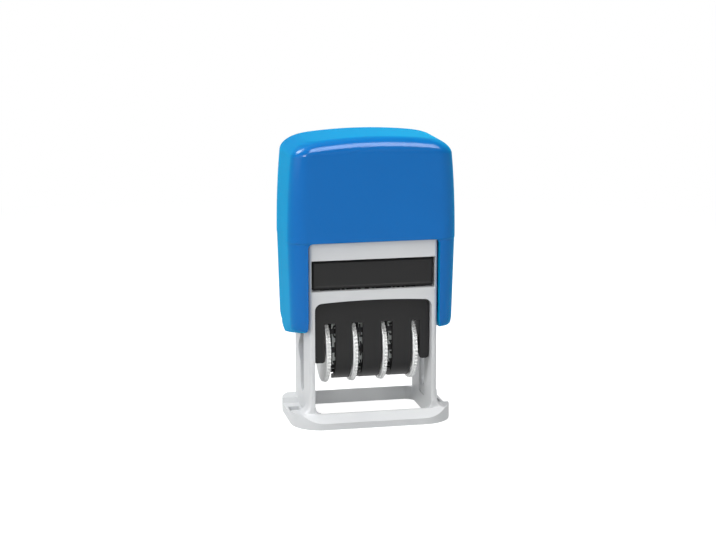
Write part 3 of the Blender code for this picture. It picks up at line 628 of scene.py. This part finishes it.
# %% Ring on the paper
base_height, base_edge_height, base_slope_run, base_corner = mm(3.2, 1.5, 2.2, 7.0)
base_half_x, base_half_y = 18.6 * MM, frame_high.y
housing = rounded_plate("frame_housing", base_half_x, base_half_y, 0, base_corner,
                        corner_steps=20, cuts=(7, 3))
extrude(0, 0, base_height)
close_piece()
report(outward(housing))


# %% Prisms to cut with
def outline_prism(name, points, axis, start, end):
    """A closed prism over an outline: a circle of as many corners, moved onto the points."""
    piece = new_piece(name, "circle", vertices=len(points), radius=1, fill_type="NGON")
    for vertex, point in zip(piece.data.vertices, points):
        place = list(point)
        place.insert(axis, start)
        vertex.co = place
    open_piece(piece)
    pick("FACE")
    extrude(*[end - start if way == axis else 0 for way in (X, Y, Z)])
    close_piece()
    return outward(piece)


def arc(centre, radius, start, sweep=90, steps=8):
    """Points of an arc from a start angle in degrees, turning left."""
    angles = [math.radians(start + sweep * step / steps) for step in range(steps + 1)]
    return [(centre[0] + radius * math.cos(angle), centre[1] + radius * math.sin(angle))
            for angle in angles]


print("a quarter round has", len(arc((0, 0), 1, 0)), "points")

# %% Slopes, opening, dips and pockets of the ring
rise = base_height - base_edge_height
slope_y = base_half_y + base_slope_run
slope_high_z = base_edge_height + 2 * rise
ring_past = 25 * MM  # farther out than the ring
for side in (-1, 1):
    slope = [(side * slope_y, base_edge_height - rise),
             (side * (base_half_y - 2 * base_slope_run), slope_high_z),
             (side * slope_y, slope_high_z)]
    cut(housing, outline_prism("base_slope", slope, X, -ring_past, ring_past))
opening_x, opening_y, opening_corner = mm(13.75, 9.85, 2.4)
opening = rounded_plate("print_opening", opening_x, opening_y, -1 * MM, opening_corner,
                        corner_steps=8, cuts=(1, 1))
extrude(0, 0, 6 * MM)
close_piece()
cut(housing, outward(opening))

dip_half, dip_depth, dip_slant = mm(5.0, 1.2, 0.4)
dip_top = dip_half + 2 * dip_slant
dip_low_z, dip_high_z = base_height - dip_depth, base_height + dip_depth
dip = [(-dip_half, dip_low_z), (dip_half, dip_low_z), (dip_top, dip_high_z),
       (-dip_top, dip_high_z)]
wall_outer_x, wall_inner_x = mm(14.85, 13.55)
pocket_half, pocket_depth, pocket_rim = mm(2, 1, 0.6)
for side in (-1, 1):
    reach = sorted((side * wall_inner_x, side * ring_past))
    cut(housing, outline_prism("end_dip", dip, X, *reach))
    pocket_x = sorted((side * (wall_outer_x + pocket_rim), side * (base_half_x - pocket_rim)))
    cut(housing, block("end_pocket", (pocket_x[0], -pocket_half, dip_low_z - pocket_depth),
                       (pocket_x[1], pocket_half, base_height)))
report(housing)

# %% Tower with flared front feet
tower_half, tower_edge, wall_foot_z = mm(9.5, 0.8, 0.4)
flare_rise, flare_side, flare_front, flare_end_y = mm(3.0, 2.1, 0.6, -5.2)
tower_top_z = frame_high.z
flare_steps = 9
tower = rounded_plate("tower", wall_outer_x, tower_half, wall_foot_z, tower_edge,
                      corner_steps=6, cuts=(5, 17))
heights = [wall_foot_z] + [
    base_height + flare_rise * (1 - math.cos(math.pi / 2 * step / flare_steps))
    for step in range(flare_steps + 1)] + [tower_top_z]
for low, high in zip(heights, heights[1:]):
    pull(high - low, wall_outer_x, tower_half)


def flare(corner):
    """Lead the front foot of each wall outwards in a quarter round."""
    climb = min(1, max(0, (corner.z - base_height) / flare_rise))
    out = 1 - math.sqrt(1 - (1 - climb) ** 2)
    if corner.y < flare_end_y and abs(corner.x) > wall_inner_x:
        corner.x += math.copysign(flare_side * out, corner.x)
        if corner.y < tower_edge - tower_half:
            corner.y -= flare_front * out


move_corners(flare)
close_piece()
report(outward(tower))

# %% Chamber, tunnel and attic
chamber_top_z, chamber_crown, chamber_corner = mm(29.2, 0.4, 1.7)
chamber_side_z = chamber_top_z - chamber_crown
past = 16 * MM  # farther out than the tower
corner_x = wall_inner_x - chamber_corner
corner_z = chamber_side_z - chamber_corner
crown = [(corner_x * (1 - step / 10),
          chamber_side_z + chamber_crown * (1 - (1 - step / 10) ** 2))
         for step in range(1, 20)]
chamber = [(-wall_inner_x, -6 * MM), (wall_inner_x, -6 * MM),
           *arc((corner_x, corner_z), chamber_corner, 0), *crown,
           *arc((-corner_x, corner_z), chamber_corner, 90)]
cut(tower, outline_prism("chamber", chamber, Y, -past, past))

tunnel_low_z, tunnel_high_z, tunnel_step_y, mouth_x = mm(31.5, 38.6, -7.2, 14.3)
ink_window_x, ink_window_y, attic_y, roof_z = mm(12, 7.9, 8.2, 39.8)
rooms = {
    "tunnel_mouth": ((-mouth_x, -past, tunnel_low_z), (mouth_x, tunnel_step_y, tunnel_high_z)),
    "tunnel": ((-wall_inner_x, tunnel_step_y - 1 * MM, tunnel_low_z),
               (wall_inner_x, past, tunnel_high_z)),
    "ink_window": ((-ink_window_x, -ink_window_y, chamber_top_z - 3 * MM),
                   (ink_window_x, ink_window_y, tunnel_low_z + overlap)),
    "attic": ((-wall_inner_x, -attic_y, roof_z), (wall_inner_x, attic_y, tower_top_z + 6 * MM)),
}
for name, corners in rooms.items():
    cut(tower, block(name, *corners))
report(tower)

# %% Cam slots and grooves
# A slot is a long hole, with a bulge where the peg swings round as the date unit turns.
slot_half, slot_end_z, peg_arm, peg_reach, travel = mm(2.0, 6.1, 3.7, 1.1, 15.4)
slot = arc((0, pivot_z), slot_half, 0, 180, 20)
slot += arc((0, slot_end_z + slot_half), slot_half, 180, 180, 20)
turn_steps = 60
for step in range(turn_steps, -1, -1):
    turn = math.pi * step / turn_steps
    swing_y, swing_z = peg_arm * math.sin(turn), peg_arm * math.cos(turn)
    along = Vector((swing_z, swing_y - travel / math.pi)).normalized()
    place = (swing_y - along.y * peg_reach,
             pivot_z - travel * turn / math.pi - swing_z + along.x * peg_reach)
    if place[0] > slot_half:
        slot.append(place)
cut(tower, outline_prism("cam_slots", slot, X, -past * 1.5, past * 1.5))
groove_half, groove_depth, groove_foot = mm(2.3, 0.35, 0.8)
groove_x = wall_inner_x + groove_depth
cut(tower, block("wall_grooves", (-groove_x, -groove_half, base_height + groove_foot),
                 (groove_x, groove_half, corner_z)))
report(tower)

# %% Hollow curves inside the front feet, and one moulding
foot_run, foot_rise, foot_root = mm(1.3, 1.6, 0.3)
foot_steps = 8
for side in (-1, 1):
    curve = []
    for step in range(foot_steps + 1):
        turn = math.pi / 2 * step / foot_steps
        curve.append((side * (wall_inner_x - foot_run * (1 - math.cos(turn))),
                      base_height + foot_rise * (1 - math.sin(turn))))
    root_x = side * (wall_inner_x + foot_root)
    root_z = base_height - foot_root
    foot = [(root_x, base_height + foot_rise), *curve,
            (side * (wall_inner_x - foot_run), root_z), (root_x, root_z)]
    weld(tower, outline_prism("foot_curve", foot, Y, -tower_half - flare_front,
                              -tower_half + 0.5 * MM))
weld(housing, tower)
weld(housing, bar("frame_post", post_radius, (0, 0, roof_z - overlap),
                  (0, 0, roof_z + post_length)))
report(housing)

# %% Soft edges of the frame
open_piece(housing)
merge_flat(0.6)
close_piece()
round_edges(housing, 0.22 * MM, 3, 32, miter_outer="MITER_ARC")
crisp(housing, 35)
dress(housing, grey_abs)
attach(housing, "frame")
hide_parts("frame")
report(housing)


# %% [markdown]
# ## Cover, cheeks and bridge
# These pieces have nearly the right shape in CAD, but their edges are knife sharp, which
# no moulding is: a mould is radiused, and that thin radius catches the light. A CAD mesh
# is loose triangles, so the copy is merged first, flat faces are dissolved back into one,
# and a Bevel modifier rounds what is left. Before that the cover's slots get their lips,
# and the cheeks lose the foot that the cover's legs hide.

# %% Soft-edged copies
def soften(node, name, width, body, material, reshape=None):
    """A copy of a CAD node with its edges rounded, after an optional change of its shape."""
    piece = twin(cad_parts[node], name)
    open_piece(piece)
    bpy.ops.mesh.customdata_custom_splitnormals_clear()
    merge_flat(1.2)
    close_piece()
    for edge in piece.data.edges:
        edge.use_edge_sharp = False
    if reshape:
        reshape(piece)
    round_edges(piece, width, 3, 28, miter_outer="MITER_ARC")
    crisp(piece, 35)
    dress(piece, material)
    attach(piece, body)
    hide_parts(node)
    report(piece)


cover_radius, slot_top_z, slot_drop = mm(6.95, 24.2, 0.6)
lip_outer, lip_inner = cover_radius - 0.14 * MM, cover_radius - 0.98 * MM
lip_start, lip_sweep, lip_steps = 224, 40, 12  # degrees round the axle
lip_gap, lip_end = mm(0.08, 1.3)


def shape_cover(piece):
    """Lower the slot tops and close each slot's lower end beside its wheel."""
    open_piece(piece)
    pick("VERT", lambda vertex: abs(vertex.co.x) < 12 * MM
         and slot_top_z - 0.35 * MM < vertex.co.z < slot_top_z + 0.05 * MM)
    bpy.ops.transform.translate(value=(0, 0, -slot_drop))
    close_piece()
    for node in ("wheel_1", "wheel_2", "wheel_3"):
        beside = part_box(node)[1].x
        outer, inner = [arc((axle_y, axle_z), radius, lip_start, lip_sweep, lip_steps)
                        for radius in (lip_outer, lip_inner)]
        weld(piece, outline_prism("slot_lip", outer + inner[::-1], X, beside + lip_gap,
                                  beside + lip_end))


soften("front_cover", "slotted_cover", 0.32 * MM, "date_unit", black_abs,
       reshape=shape_cover)


cheek_end_z = 14.4 * MM


def shape_cheek(piece):
    """Take the cheek's foot off below the axle, where the cover's leg hides the rest."""
    cut(piece, block("cheek_foot", mm(-20, -12, 5), (*mm(20, 12), cheek_end_z)))


for word in ("left", "right"):
    soften("cheek_" + word, "side_cheek_" + word, 0.2 * MM, "date_unit",
           black_abs, reshape=shape_cheek)
soften("band_bridge", "nose_bridge", 0.15 * MM, "date_unit", black_abs)


# %% [markdown]
# ## Ink pad
# The pad is a small black cartridge that slides in from the front. Its front plate is what
# shows: a flat panel with a chamfer all round. The plate is a box whose front face is
# inset and pulled forward, and the body behind it is hollowed from below for the felt.

# %% Cartridge
plate_thickness, chamfer, plate_margin, panel_step = mm(1.3, 0.42, 0.35, 0.06)
body_half, body_inset, plate_grip, felt_gap = mm(13.25, 0.25, 0.3, 0.3)
plate_back = pad_low.y + plate_thickness
plate = block("ink_cartridge", (pad_low.x, pad_low.y + chamfer, pad_low.z),
              (pad_high.x, plate_back, pad_high.z))
open_piece(plate)
pick("FACE", facing((0, -1, 0)))
inset(chamfer, chamfer)
inset(plate_margin)
inset(panel_step, -0.05 * MM)
close_piece()
round_edges(plate, 0.05 * MM, 2, 25)
weld(plate, block("pad_body", (-body_half, plate_back - plate_grip, pad_low.z + body_inset),
                  (body_half, pad_high.y, pad_high.z - body_inset)))
pocket_x = felt_high.x + felt_gap
cut(plate, block("felt_pocket", (-pocket_x, felt_low.y - felt_gap, pad_low.z - 2 * MM),
                 (pocket_x, felt_high.y + felt_gap, felt_high.z + felt_gap)))
crisp(plate, 30)
dress(plate, black_abs)
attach(plate, "ink_pad")
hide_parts("ink_pad_case")
report(plate)

# %% [markdown]
# The felt is a soft block: it swells a little in the middle, its sides pull in towards its
# faces, and its edges are rounder than those of any moulding. A subdivided box whose
# corners follow a rule is enough for a pad this thin.

# %% Felt
felt = block("felt_pad", felt_low, felt_high)
open_piece(felt)
pick("FACE")
bpy.ops.mesh.subdivide(number_cuts=20)
centre = (felt_low + felt_high) / 2
half = (felt_high - felt_low) / 2
edge_sink = 0.25 * MM


def swell(corner):
    """Crown the felt's faces and pull its sides in towards them."""
    share = [(corner[axis] - centre[axis]) / half[axis] for axis in (X, Y, Z)]
    edge_pull = 1 - 0.012 * share[Z] ** 2
    crown = (1 - share[X] ** 4) * (1 - share[Y] ** 4)
    corner.x = centre.x + half.x * share[X] * edge_pull
    corner.y = centre.y + half.y * share[Y] * edge_pull
    corner.z = centre.z + share[Z] * (half.z - edge_sink * (1 - crown))


move_corners(swell)
close_piece()
round_edges(felt, 0.3 * MM, 3, 50)
smooth(felt, 60)
dress(felt, inked_felt)
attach(felt, "ink_pad")
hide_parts("ink_pad_felt")
report(felt)


# %% [markdown]
# ## Thumb wheels
# Four white wheels stick out through the slots of the cover. Each has a smooth flange on
# its left and a ring of small rounded teeth beside it, a shallow dish in both faces and a
# drum that carries a band. The disc is a cylinder shaped by inset and extrude, one tooth
# is modelled and spun round it 54 times, and the wheels are copies that differ only in
# their drums.

# %% The disc
wheel_low, wheel_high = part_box("wheel_1")
wheel_radius = (wheel_high.z - wheel_low.z) / 2
wheel_width, flange_width, flange_drop, tooth_height = mm(1.1, 0.36, 0.12, 0.6)
drum_radius, bore_radius, disc_bevel = mm(4.2, 1.25, 0.1)
dish_right, dish_left, dish_slope, dish_right_depth, dish_left_depth = mm(
    6.3, 6.5, 0.25, 0.2, 0.15)
teeth = 54
flange_radius = wheel_radius - flange_drop
root_radius = wheel_radius - tooth_height


def toothed_wheel(name):
    """A disc with a flange and dished faces, its left face at x = 0."""
    disc = bar(name, flange_radius, axle_place, axle_place + Vector((flange_width, 0, 0)),
               4 * teeth)
    open_piece(disc)
    pick("EDGE", lambda edge: run_along(edge, X) < 1e-7)
    bevel(disc_bevel, 2)
    pick("FACE", facing((1, 0, 0)))
    inset(flange_radius - disc_bevel - root_radius)
    extrude(wheel_width - flange_width, 0, 0)
    inset(root_radius - dish_right)
    inset(dish_slope, -dish_right_depth)
    inset(dish_right - dish_slope - drum_radius)
    pick("FACE", facing((-1, 0, 0)))
    inset(flange_radius - disc_bevel - dish_left)
    inset(dish_slope, -dish_left_depth)
    inset(dish_left - dish_slope - drum_radius)
    return close_piece()


def wheel_tooth(name):
    """One rounded tooth at the top of the disc, spun into a full ring."""
    half_width = math.pi * wheel_radius / teeth * 0.68
    tooth = block(name, (flange_width - 0.05 * MM, axle_y - half_width,
                         axle_z + root_radius - 0.25 * MM),
                  (wheel_width, axle_y + half_width, axle_z + wheel_radius))
    open_piece(tooth)
    pick("EDGE", lambda edge: middle(edge).z > axle_z + wheel_radius - 1e-6
         or (middle(edge).x > wheel_width - 1e-6
             and middle(edge).z > axle_z + root_radius - 0.2 * MM))
    bevel(0.3 * MM, 3)
    pick("FACE")
    bpy.ops.mesh.spin(steps=teeth - 1, angle=2 * math.pi * (teeth - 1) / teeth, dupli=True,
                      center=axle_place, axis=(1, 0, 0))
    return close_piece()


plain_wheel = join([toothed_wheel("plain_wheel"), wheel_tooth("wheel_tooth")])
report(plain_wheel)

# %% Four wheels with their drums
band_of_wheel = {"wheel_1": "band_day_tens", "wheel_2": "band_day_units",
                 "wheel_3": "band_month", "wheel_4": "band_year"}
bore_reach = 12 * MM
for number, (node, band) in enumerate(band_of_wheel.items(), 1):
    wheel_low, wheel_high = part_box(node)
    band_low, band_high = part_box(band)
    to_right = band_low.x > wheel_low.x
    side = 1 if to_right else -1
    low_x = wheel_low.x if to_right else wheel_high.x - wheel_width
    wheel = twin(plain_wheel, "thumb_wheel_%d" % number)
    wheel.location.x = low_x
    open_piece(settle(wheel))
    hub_x = low_x + (wheel_width - dish_right_depth if to_right else dish_left_depth)
    pick("FACE", lambda face: face.normal.x * side > 0.99 and len(face.verts) > 100
         and abs(middle(face).x - hub_x) < 0.05 * MM)
    extrude((band_high.x if to_right else band_low.x) - hub_x, 0, 0)
    close_piece()
    start, end = (axle_place + Vector((low_x + way * bore_reach, 0, 0)) for way in (-1, 1))
    cut(wheel, bar("bore", bore_radius, start, end))
    smooth(wheel, 40)
    dress(wheel, white_acetal)
    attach(wheel, node)
    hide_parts(node)
    report(wheel)
bpy.data.objects.remove(plain_wheel, do_unlink=True)


# %% [markdown]
# ## Bands with their type
# A band leaves its mould flat, with a row of raised characters, and is then glued into a
# loop. It is made the same way here: a long strip with a plinth for each character is
# modelled flat, the characters are text turned into a mesh, and the whole strip is wrapped
# round the path from the drum over the nose. The wrap turns left into right, which is what
# type needs: it reads right way round only in print.

# %% The path of a band
band_inner, nose_half, nose_z, nose_radius = mm(4.5, 1.7, 29.6, 0.8)
band_circles = [(axle_y, axle_z, band_inner), (nose_half, nose_z, nose_radius),
                (-nose_half, nose_z, nose_radius)]


def loop_runs(circles):
    """The arcs and straight runs of a loop round circles (y, z, radius)."""
    runs = []
    normals = []
    pairs = list(zip(circles, circles[1:] + circles[:1]))
    for (y, z, radius), (y2, z2, radius2) in pairs:
        heading = math.atan2(z2 - z, y2 - y)
        normals.append(heading - math.acos((radius - radius2) / math.hypot(y2 - y, z2 - z)))
    for index, ((y, z, radius), (y2, z2, radius2)) in enumerate(pairs):
        arrive = normals[index - 1]
        leave = normals[index]
        while leave < arrive:
            leave += 2 * math.pi
        runs.append(("arc", (y, z), radius, arrive, leave, radius * (leave - arrive)))
        first = (y + radius * math.cos(leave), z + radius * math.sin(leave))
        last = (y2 + radius2 * math.cos(leave), z2 + radius2 * math.sin(leave))
        runs.append(("line", first, last, leave, leave, math.dist(first, last)))
    return runs


def walk(runs, distance):
    """The place and outward angle at a distance along the loop."""
    distance = distance % sum(run[-1] for run in runs)
    for kind, first, second, start, end, length in runs:
        if distance > length:
            distance -= length
            continue
        share = distance / length
        if kind == "arc":
            angle = start + (end - start) * share
            return (first[0] + second * math.cos(angle),
                    first[1] + second * math.sin(angle)), angle
        return (first[0] + (second[0] - first[0]) * share,
                first[1] + (second[1] - first[1]) * share), start
    return runs[0][1], runs[0][3]


path = loop_runs(band_circles)
loop_length = sum(run[-1] for run in path)
nose_middle = sum(run[-1] for run in path[:3]) + path[3][-1] / 2
stations = 12
pitch = loop_length / stations
print("loop and pitch mm:", in_mm(loop_length, pitch))

# %% Strip and plinths, still flat
band_thickness, plinth_height, plinth_edge = mm(0.7, 0.15, 0.35)
slices = 12  # of the strip under each character, so that it can bend


def flat_strip(name, low_x, high_x):
    """The strip with twelve plinths."""
    strip = block(name, (low_x, -loop_length / 2, 0), (high_x, loop_length / 2, band_thickness))
    dress(strip, band_rubber, type_rubber)
    open_piece(strip)
    pick("EDGE", lambda edge: run_along(edge, Y) > loop_length * 0.9)
    bpy.ops.mesh.subdivide(number_cuts=stations * slices - 1)
    step = loop_length / (stations * slices)

    def on_plinth(face):
        place = (middle(face).y + loop_length / 2) / step
        return face.normal.z > 0.99 and 0.9 < place % slices < slices - 0.9

    pick("FACE", on_plinth)
    bpy.ops.mesh.inset(thickness=plinth_edge, depth=plinth_height, use_boundary=True)
    bpy.context.object.active_material_index = 1
    bpy.ops.object.material_slot_assign()
    pick("FACE", lambda face: abs(face.normal.y) > 0.99)
    bpy.ops.mesh.delete(type="FACE")
    return close_piece()


print("a strip is cut into", stations * slices, "slices")

# %% Characters, still flat
letter_height, type_height, type_foot = mm(3.0, 0.4, 0.05)
letter_slices = round(letter_height / (0.33 * MM))


def letters(word, width, middle_x, station):
    """A word in its place on the flat strip, as a mesh."""
    deselect()
    bpy.ops.object.text_add()
    text = bpy.context.object.data
    text.body = word
    text.align_x = "CENTER"
    text.align_y = "CENTER"
    text.resolution_u = 3
    text.offset = 0.012
    text.extrude = 0.5
    bpy.ops.object.convert(target="MESH")
    piece = bpy.context.object
    sizes = piece.dimensions.copy()
    low = Vector(piece.bound_box[0])
    open_piece(piece)
    pick("VERT")
    bpy.ops.mesh.remove_doubles(threshold=0.0005)
    bpy.ops.transform.translate(value=(-low.x - sizes.x / 2, -low.y - sizes.y / 2, 0.5))
    bpy.ops.transform.resize(value=(width / sizes.x, letter_height / sizes.y, 1),
                             center_override=(0, 0, 0))
    bpy.ops.transform.resize(value=(1, 1, type_height - type_foot), center_override=(0, 0, 0))
    bpy.ops.transform.translate(value=(middle_x, 0, band_thickness + type_foot))
    for index in range(1, letter_slices):
        pick("FACE")
        slice_y = -letter_height / 2 + letter_height * index / letter_slices
        bpy.ops.mesh.bisect(plane_co=(0, slice_y, 0), plane_no=(0, 1, 0))
    pick("VERT")
    bpy.ops.transform.translate(value=(0, station * pitch, 0))
    return close_piece()


print("a character is cut into", letter_slices, "slices")

# %% Wrap the strips and mount them
band_words = {
    "band_day_tens": "1 2 3 0 1 2 3 0 1 2 3 0",
    "band_day_units": "2 3 4 5 6 7 8 9 0 1 - /",
    "band_month": "NOV DEC JAN FEB MAR APR MAY JUN JUL AUG SEP OCT",
    "band_year": "2032 2033 2034 2035 2036 2037 2026 2027 2028 2029 2030 2031",
}
type_margin = 0.9 * MM  # left free beside a word


def wrap(band):
    """Bend a flat strip round the path of the band."""
    for vertex in band.data.vertices:
        x, along, height = vertex.co
        (y, z), angle = walk(path, nose_middle + along)
        vertex.co = (x, y + height * math.cos(angle), z + height * math.sin(angle))
    open_piece(band)
    pick("VERT")
    bpy.ops.mesh.remove_doubles(threshold=0.003 * MM)
    bpy.ops.mesh.flip_normals()
    close_piece()
    smooth(band, 35)


for node, words in band_words.items():
    low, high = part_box(node)
    pieces = [flat_strip(node.replace("band", "type_band"), low.x, high.x)]
    for station, word in enumerate(words.split()):
        place = station if station < stations / 2 else station - stations
        narrow = 0.45 if word in "1-/" else 1
        piece = letters(word, (high.x - low.x - type_margin) * narrow, (low.x + high.x) / 2, place)
        dress(piece, band_rubber, type_rubber)
        pieces.append(piece)
    band = join(pieces)
    wrap(band)
    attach(band, "date_unit")
    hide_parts(node)
    report(band)


# %% [markdown]
# ## Return spring
# A coil of hard-drawn wire lifts the cap again. A Screw modifier sweeps the wire's section
# round the axis, and the first and last turn are then pressed flat, as a spring's ends are,
# so that it can stand.

# %% Coil
wire_radius, coil_radius, screw_rise = mm(0.4, 5.2, 1)
turns = 9
steps_per_turn = 40
wire = new_piece("return_spring", "circle", vertices=10, radius=wire_radius,
                 fill_type="NOTHING", location=(coil_radius, 0, 0),
                 rotation=(math.pi / 2, 0, 0))
settle(wire)
add_modifier(wire, "SCREW", angle=2 * math.pi, screw_offset=screw_rise, iterations=turns,
             steps=steps_per_turn, render_steps=steps_per_turn, axis="Z",
             use_smooth_shade=True)
coil_low = spring_low.z + wire_radius
coil_high = spring_high.z - wire_radius
closed_rise = 2 * wire_radius * 1.03


def coil_height(turn):
    """Height of the wire's middle: closed end turns, even turns between."""
    if turn < 1:
        return coil_low + closed_rise * turn
    if turn > turns - 1:
        return coil_high - closed_rise * (turns - turn)
    free = coil_high - coil_low - 2 * closed_rise
    return coil_low + closed_rise + free * (turn - 1) / (turns - 2)


for vertex in wire.data.vertices:
    part = math.atan2(vertex.co.y, vertex.co.x) / (2 * math.pi) % 1
    turn = round(vertex.co.z / screw_rise - part) + part
    vertex.co.z += coil_height(min(turns, max(0, turn))) - turn * screw_rise
open_piece(wire)
pick("EDGE", lambda edge: edge.is_boundary)
bpy.ops.mesh.edge_face_add()
close_piece()
outward(wire)
smooth(wire, 50)
dress(wire, spring_steel)
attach(wire, "frame")
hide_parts("press_spring")
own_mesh(wire)
report(wire)

# %% [markdown]
# ## Plain turned pieces
# The axle, the tie rod and the two spacers are plain round bars and rings in reality too,
# so their CAD shapes stay and only get a finish.

# %% CAD nodes that stay
for node, material in {"wheel_axle": spring_steel, "tie_rod": spring_steel,
                       "axle_spacer_left": white_acetal,
                       "axle_spacer_right": white_acetal}.items():
    dress(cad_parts[node], material)
    print(node, "keeps its CAD shape, in", material.name)


# %% [markdown]
# ## Floor, light and camera
# The stamp stands on a plain pale floor that runs up into a backdrop without an edge. Rays
# from the camera see it lifted near the stamp, where it keeps the shadow, and it fades to
# pure white farther off. Four soft lamps shade the stamp and show in no reflection. Four
# more light nothing and show only in reflections: they draw the streak and the blobs on
# the cap's edge. So shading and gloss can be set apart. The world fills the rest.

# %% Floor and backdrop
paper_grey, paper_lift = "#A5A5A5", 0.8
fade_start, fade_end = 0.06, 0.3
back_y = 1.9
floor = new_piece("studio_sweep", "plane", size=2, location=(0, 0.6, 0))
floor.scale = (1.6, 1.4, 1)
open_piece(settle(floor))
pick("EDGE", lambda edge: middle(edge).y > back_y)
bpy.ops.mesh.extrude_edges_move(TRANSFORM_OT_translate={"value": (0, 0, 1.8)})
pick("EDGE", lambda edge: middle(edge).y > back_y and abs(middle(edge).z) < 0.01
     and abs(middle(edge).x) < 0.1)
bevel(0.6, 16)
close_piece()
smooth(floor, 60)
report(floor)

# %% White paper
paper, tree, shader, place = start_material("studio_paper_white")
# Matt paper, darker than it looks, so that it throws little light back on the stamp.
shader.inputs["Base Color"].default_value = linear(paper_grey)
shader.inputs["Roughness"].default_value = 0.9


rays = add_node(tree, "ShaderNodeLightPath").outputs
seen = rays["Is Camera Ray"]
for kind in ("Is Glossy Ray", "Is Transmission Ray"):
    either = add_node(tree, "ShaderNodeMath", {"operation": "MAXIMUM"},
                      links={0: seen, 1: rays[kind]})
    seen = either.outputs[0]
lifted = add_node(tree, "ShaderNodeMath", {"operation": "MULTIPLY"},
                  values={1: paper_lift}, links={0: seen})
lift = add_node(tree, "ShaderNodeEmission", values={"Color": (1, 1, 1, 1)},
                links={"Strength": lifted.outputs[0]})
near = add_node(tree, "ShaderNodeAddShader", links={0: shader.outputs[0], 1: lift.outputs[0]})
away = add_node(tree, "ShaderNodeVectorMath", {"operation": "LENGTH"}, links={0: place})
fade = add_node(tree, "ShaderNodeMapRange", {"interpolation_type": "SMOOTHSTEP"},
                values={"From Min": fade_start, "From Max": fade_end},
                links={"Value": away.outputs["Value"]})
far = add_node(tree, "ShaderNodeMath", {"operation": "MULTIPLY"},
               links={0: fade.outputs["Result"], 1: seen})
white = add_node(tree, "ShaderNodeEmission", values={"Color": (1, 1, 1, 1), "Strength": 1.0})
mixed = add_node(tree, "ShaderNodeMixShader",
                 links={"Fac": far.outputs[0], 1: near.outputs[0], 2: white.outputs[0]})
tree.links.new(mixed.outputs[0], tree.nodes["Material Output"].inputs["Surface"])
dress(floor, paper)
print("floor:", paper.name, paper_grey)

# %% World
world = bpy.data.worlds.new("studio")
bpy.context.scene.world = world
world.use_nodes = True
tree = world.node_tree
back = tree.nodes["Background"]
back.inputs["Color"].default_value = (1, 1, 1, 1)
back.inputs["Strength"].default_value = 0.46
rays = add_node(tree, "ShaderNodeLightPath")
white = add_node(tree, "ShaderNodeBackground", values={"Color": (1, 1, 1, 1), "Strength": 1.0})
mix = add_node(tree, "ShaderNodeMixShader", links={"Fac": rays.outputs["Is Camera Ray"],
                                                   1: back.outputs[0], 2: white.outputs[0]})
tree.links.new(mix.outputs[0], tree.nodes["World Output"].inputs["Surface"])
print("world strength:", round(back.inputs["Strength"].default_value, 2))

# %% Lamps
stamp_middle = Vector((0, 0, 0.033))
# azimuth from the front towards the left and elevation in degrees, distance, size, watts
lamps = {
    "light_left": (62, 28, 0.8, (0.4, 0.4), 2.9),
    "light_front": (-6, 13, 0.8, (0.5, 0.2), 1.5),
    "light_above": (20, 78, 0.7, (0.5, 0.4), 0.8),
    "light_behind": (160, 68, 0.7, (0.5, 0.4), 2.9),
    "gloss_top_edge": (-20, 58, 0.7, (0.5, 0.36), 9),
    "gloss_corner": (122, 48, 0.7, (0.3, 0.3), 6),
    "gloss_front": (34, 26, 0.8, (0.25, 0.25), 4),
    "gloss_left": (78, 4, 0.8, (0.9, 0.6), 2.5),
}
for name, (azimuth, elevation, distance, size, watts) in lamps.items():
    turn, climb = math.radians(azimuth), math.radians(elevation)
    lamp = bpy.data.lights.new(name, "AREA")
    lamp.shape = "RECTANGLE"
    lamp.size, lamp.size_y = size
    lamp.energy = watts
    item = bpy.data.objects.new(name, lamp)
    bpy.context.scene.collection.objects.link(item)
    item.location = stamp_middle + distance * Vector((
        -math.sin(turn) * math.cos(climb), -math.cos(turn) * math.cos(climb), math.sin(climb)))
    item.rotation_mode = "QUATERNION"
    item.rotation_quaternion = (stamp_middle - item.location).to_track_quat("-Z", "Y")
    item.visible_glossy = name.startswith("gloss")
    item.visible_diffuse = not item.visible_glossy
    print(name, watts, "W")

# %% Camera
azimuth, elevation = math.radians(12.076), math.radians(12.09)
distance = 0.451223
target = Vector((0, 0, 0.032))
forward = Vector((math.sin(azimuth) * math.cos(elevation),
                  math.cos(azimuth) * math.cos(elevation), -math.sin(elevation)))
lens = bpy.data.cameras.new("product_camera")
lens.sensor_width = 36
lens.lens = 98.39
lens.shift_x = -0.00976
lens.shift_y = 0.01253
camera = bpy.data.objects.new("product_camera", lens)
bpy.context.scene.collection.objects.link(camera)
camera.location = target - forward * distance
camera.rotation_mode = "QUATERNION"
camera.rotation_quaternion = forward.to_track_quat("-Z", "Y")
bpy.context.scene.camera = camera
bpy.context.scene.view_settings.view_transform = "Standard"
print("camera at", [round(v, 4) for v in camera.location])

# %% Leave nothing selected
bpy.ops.object.select_all(action="DESELECT")
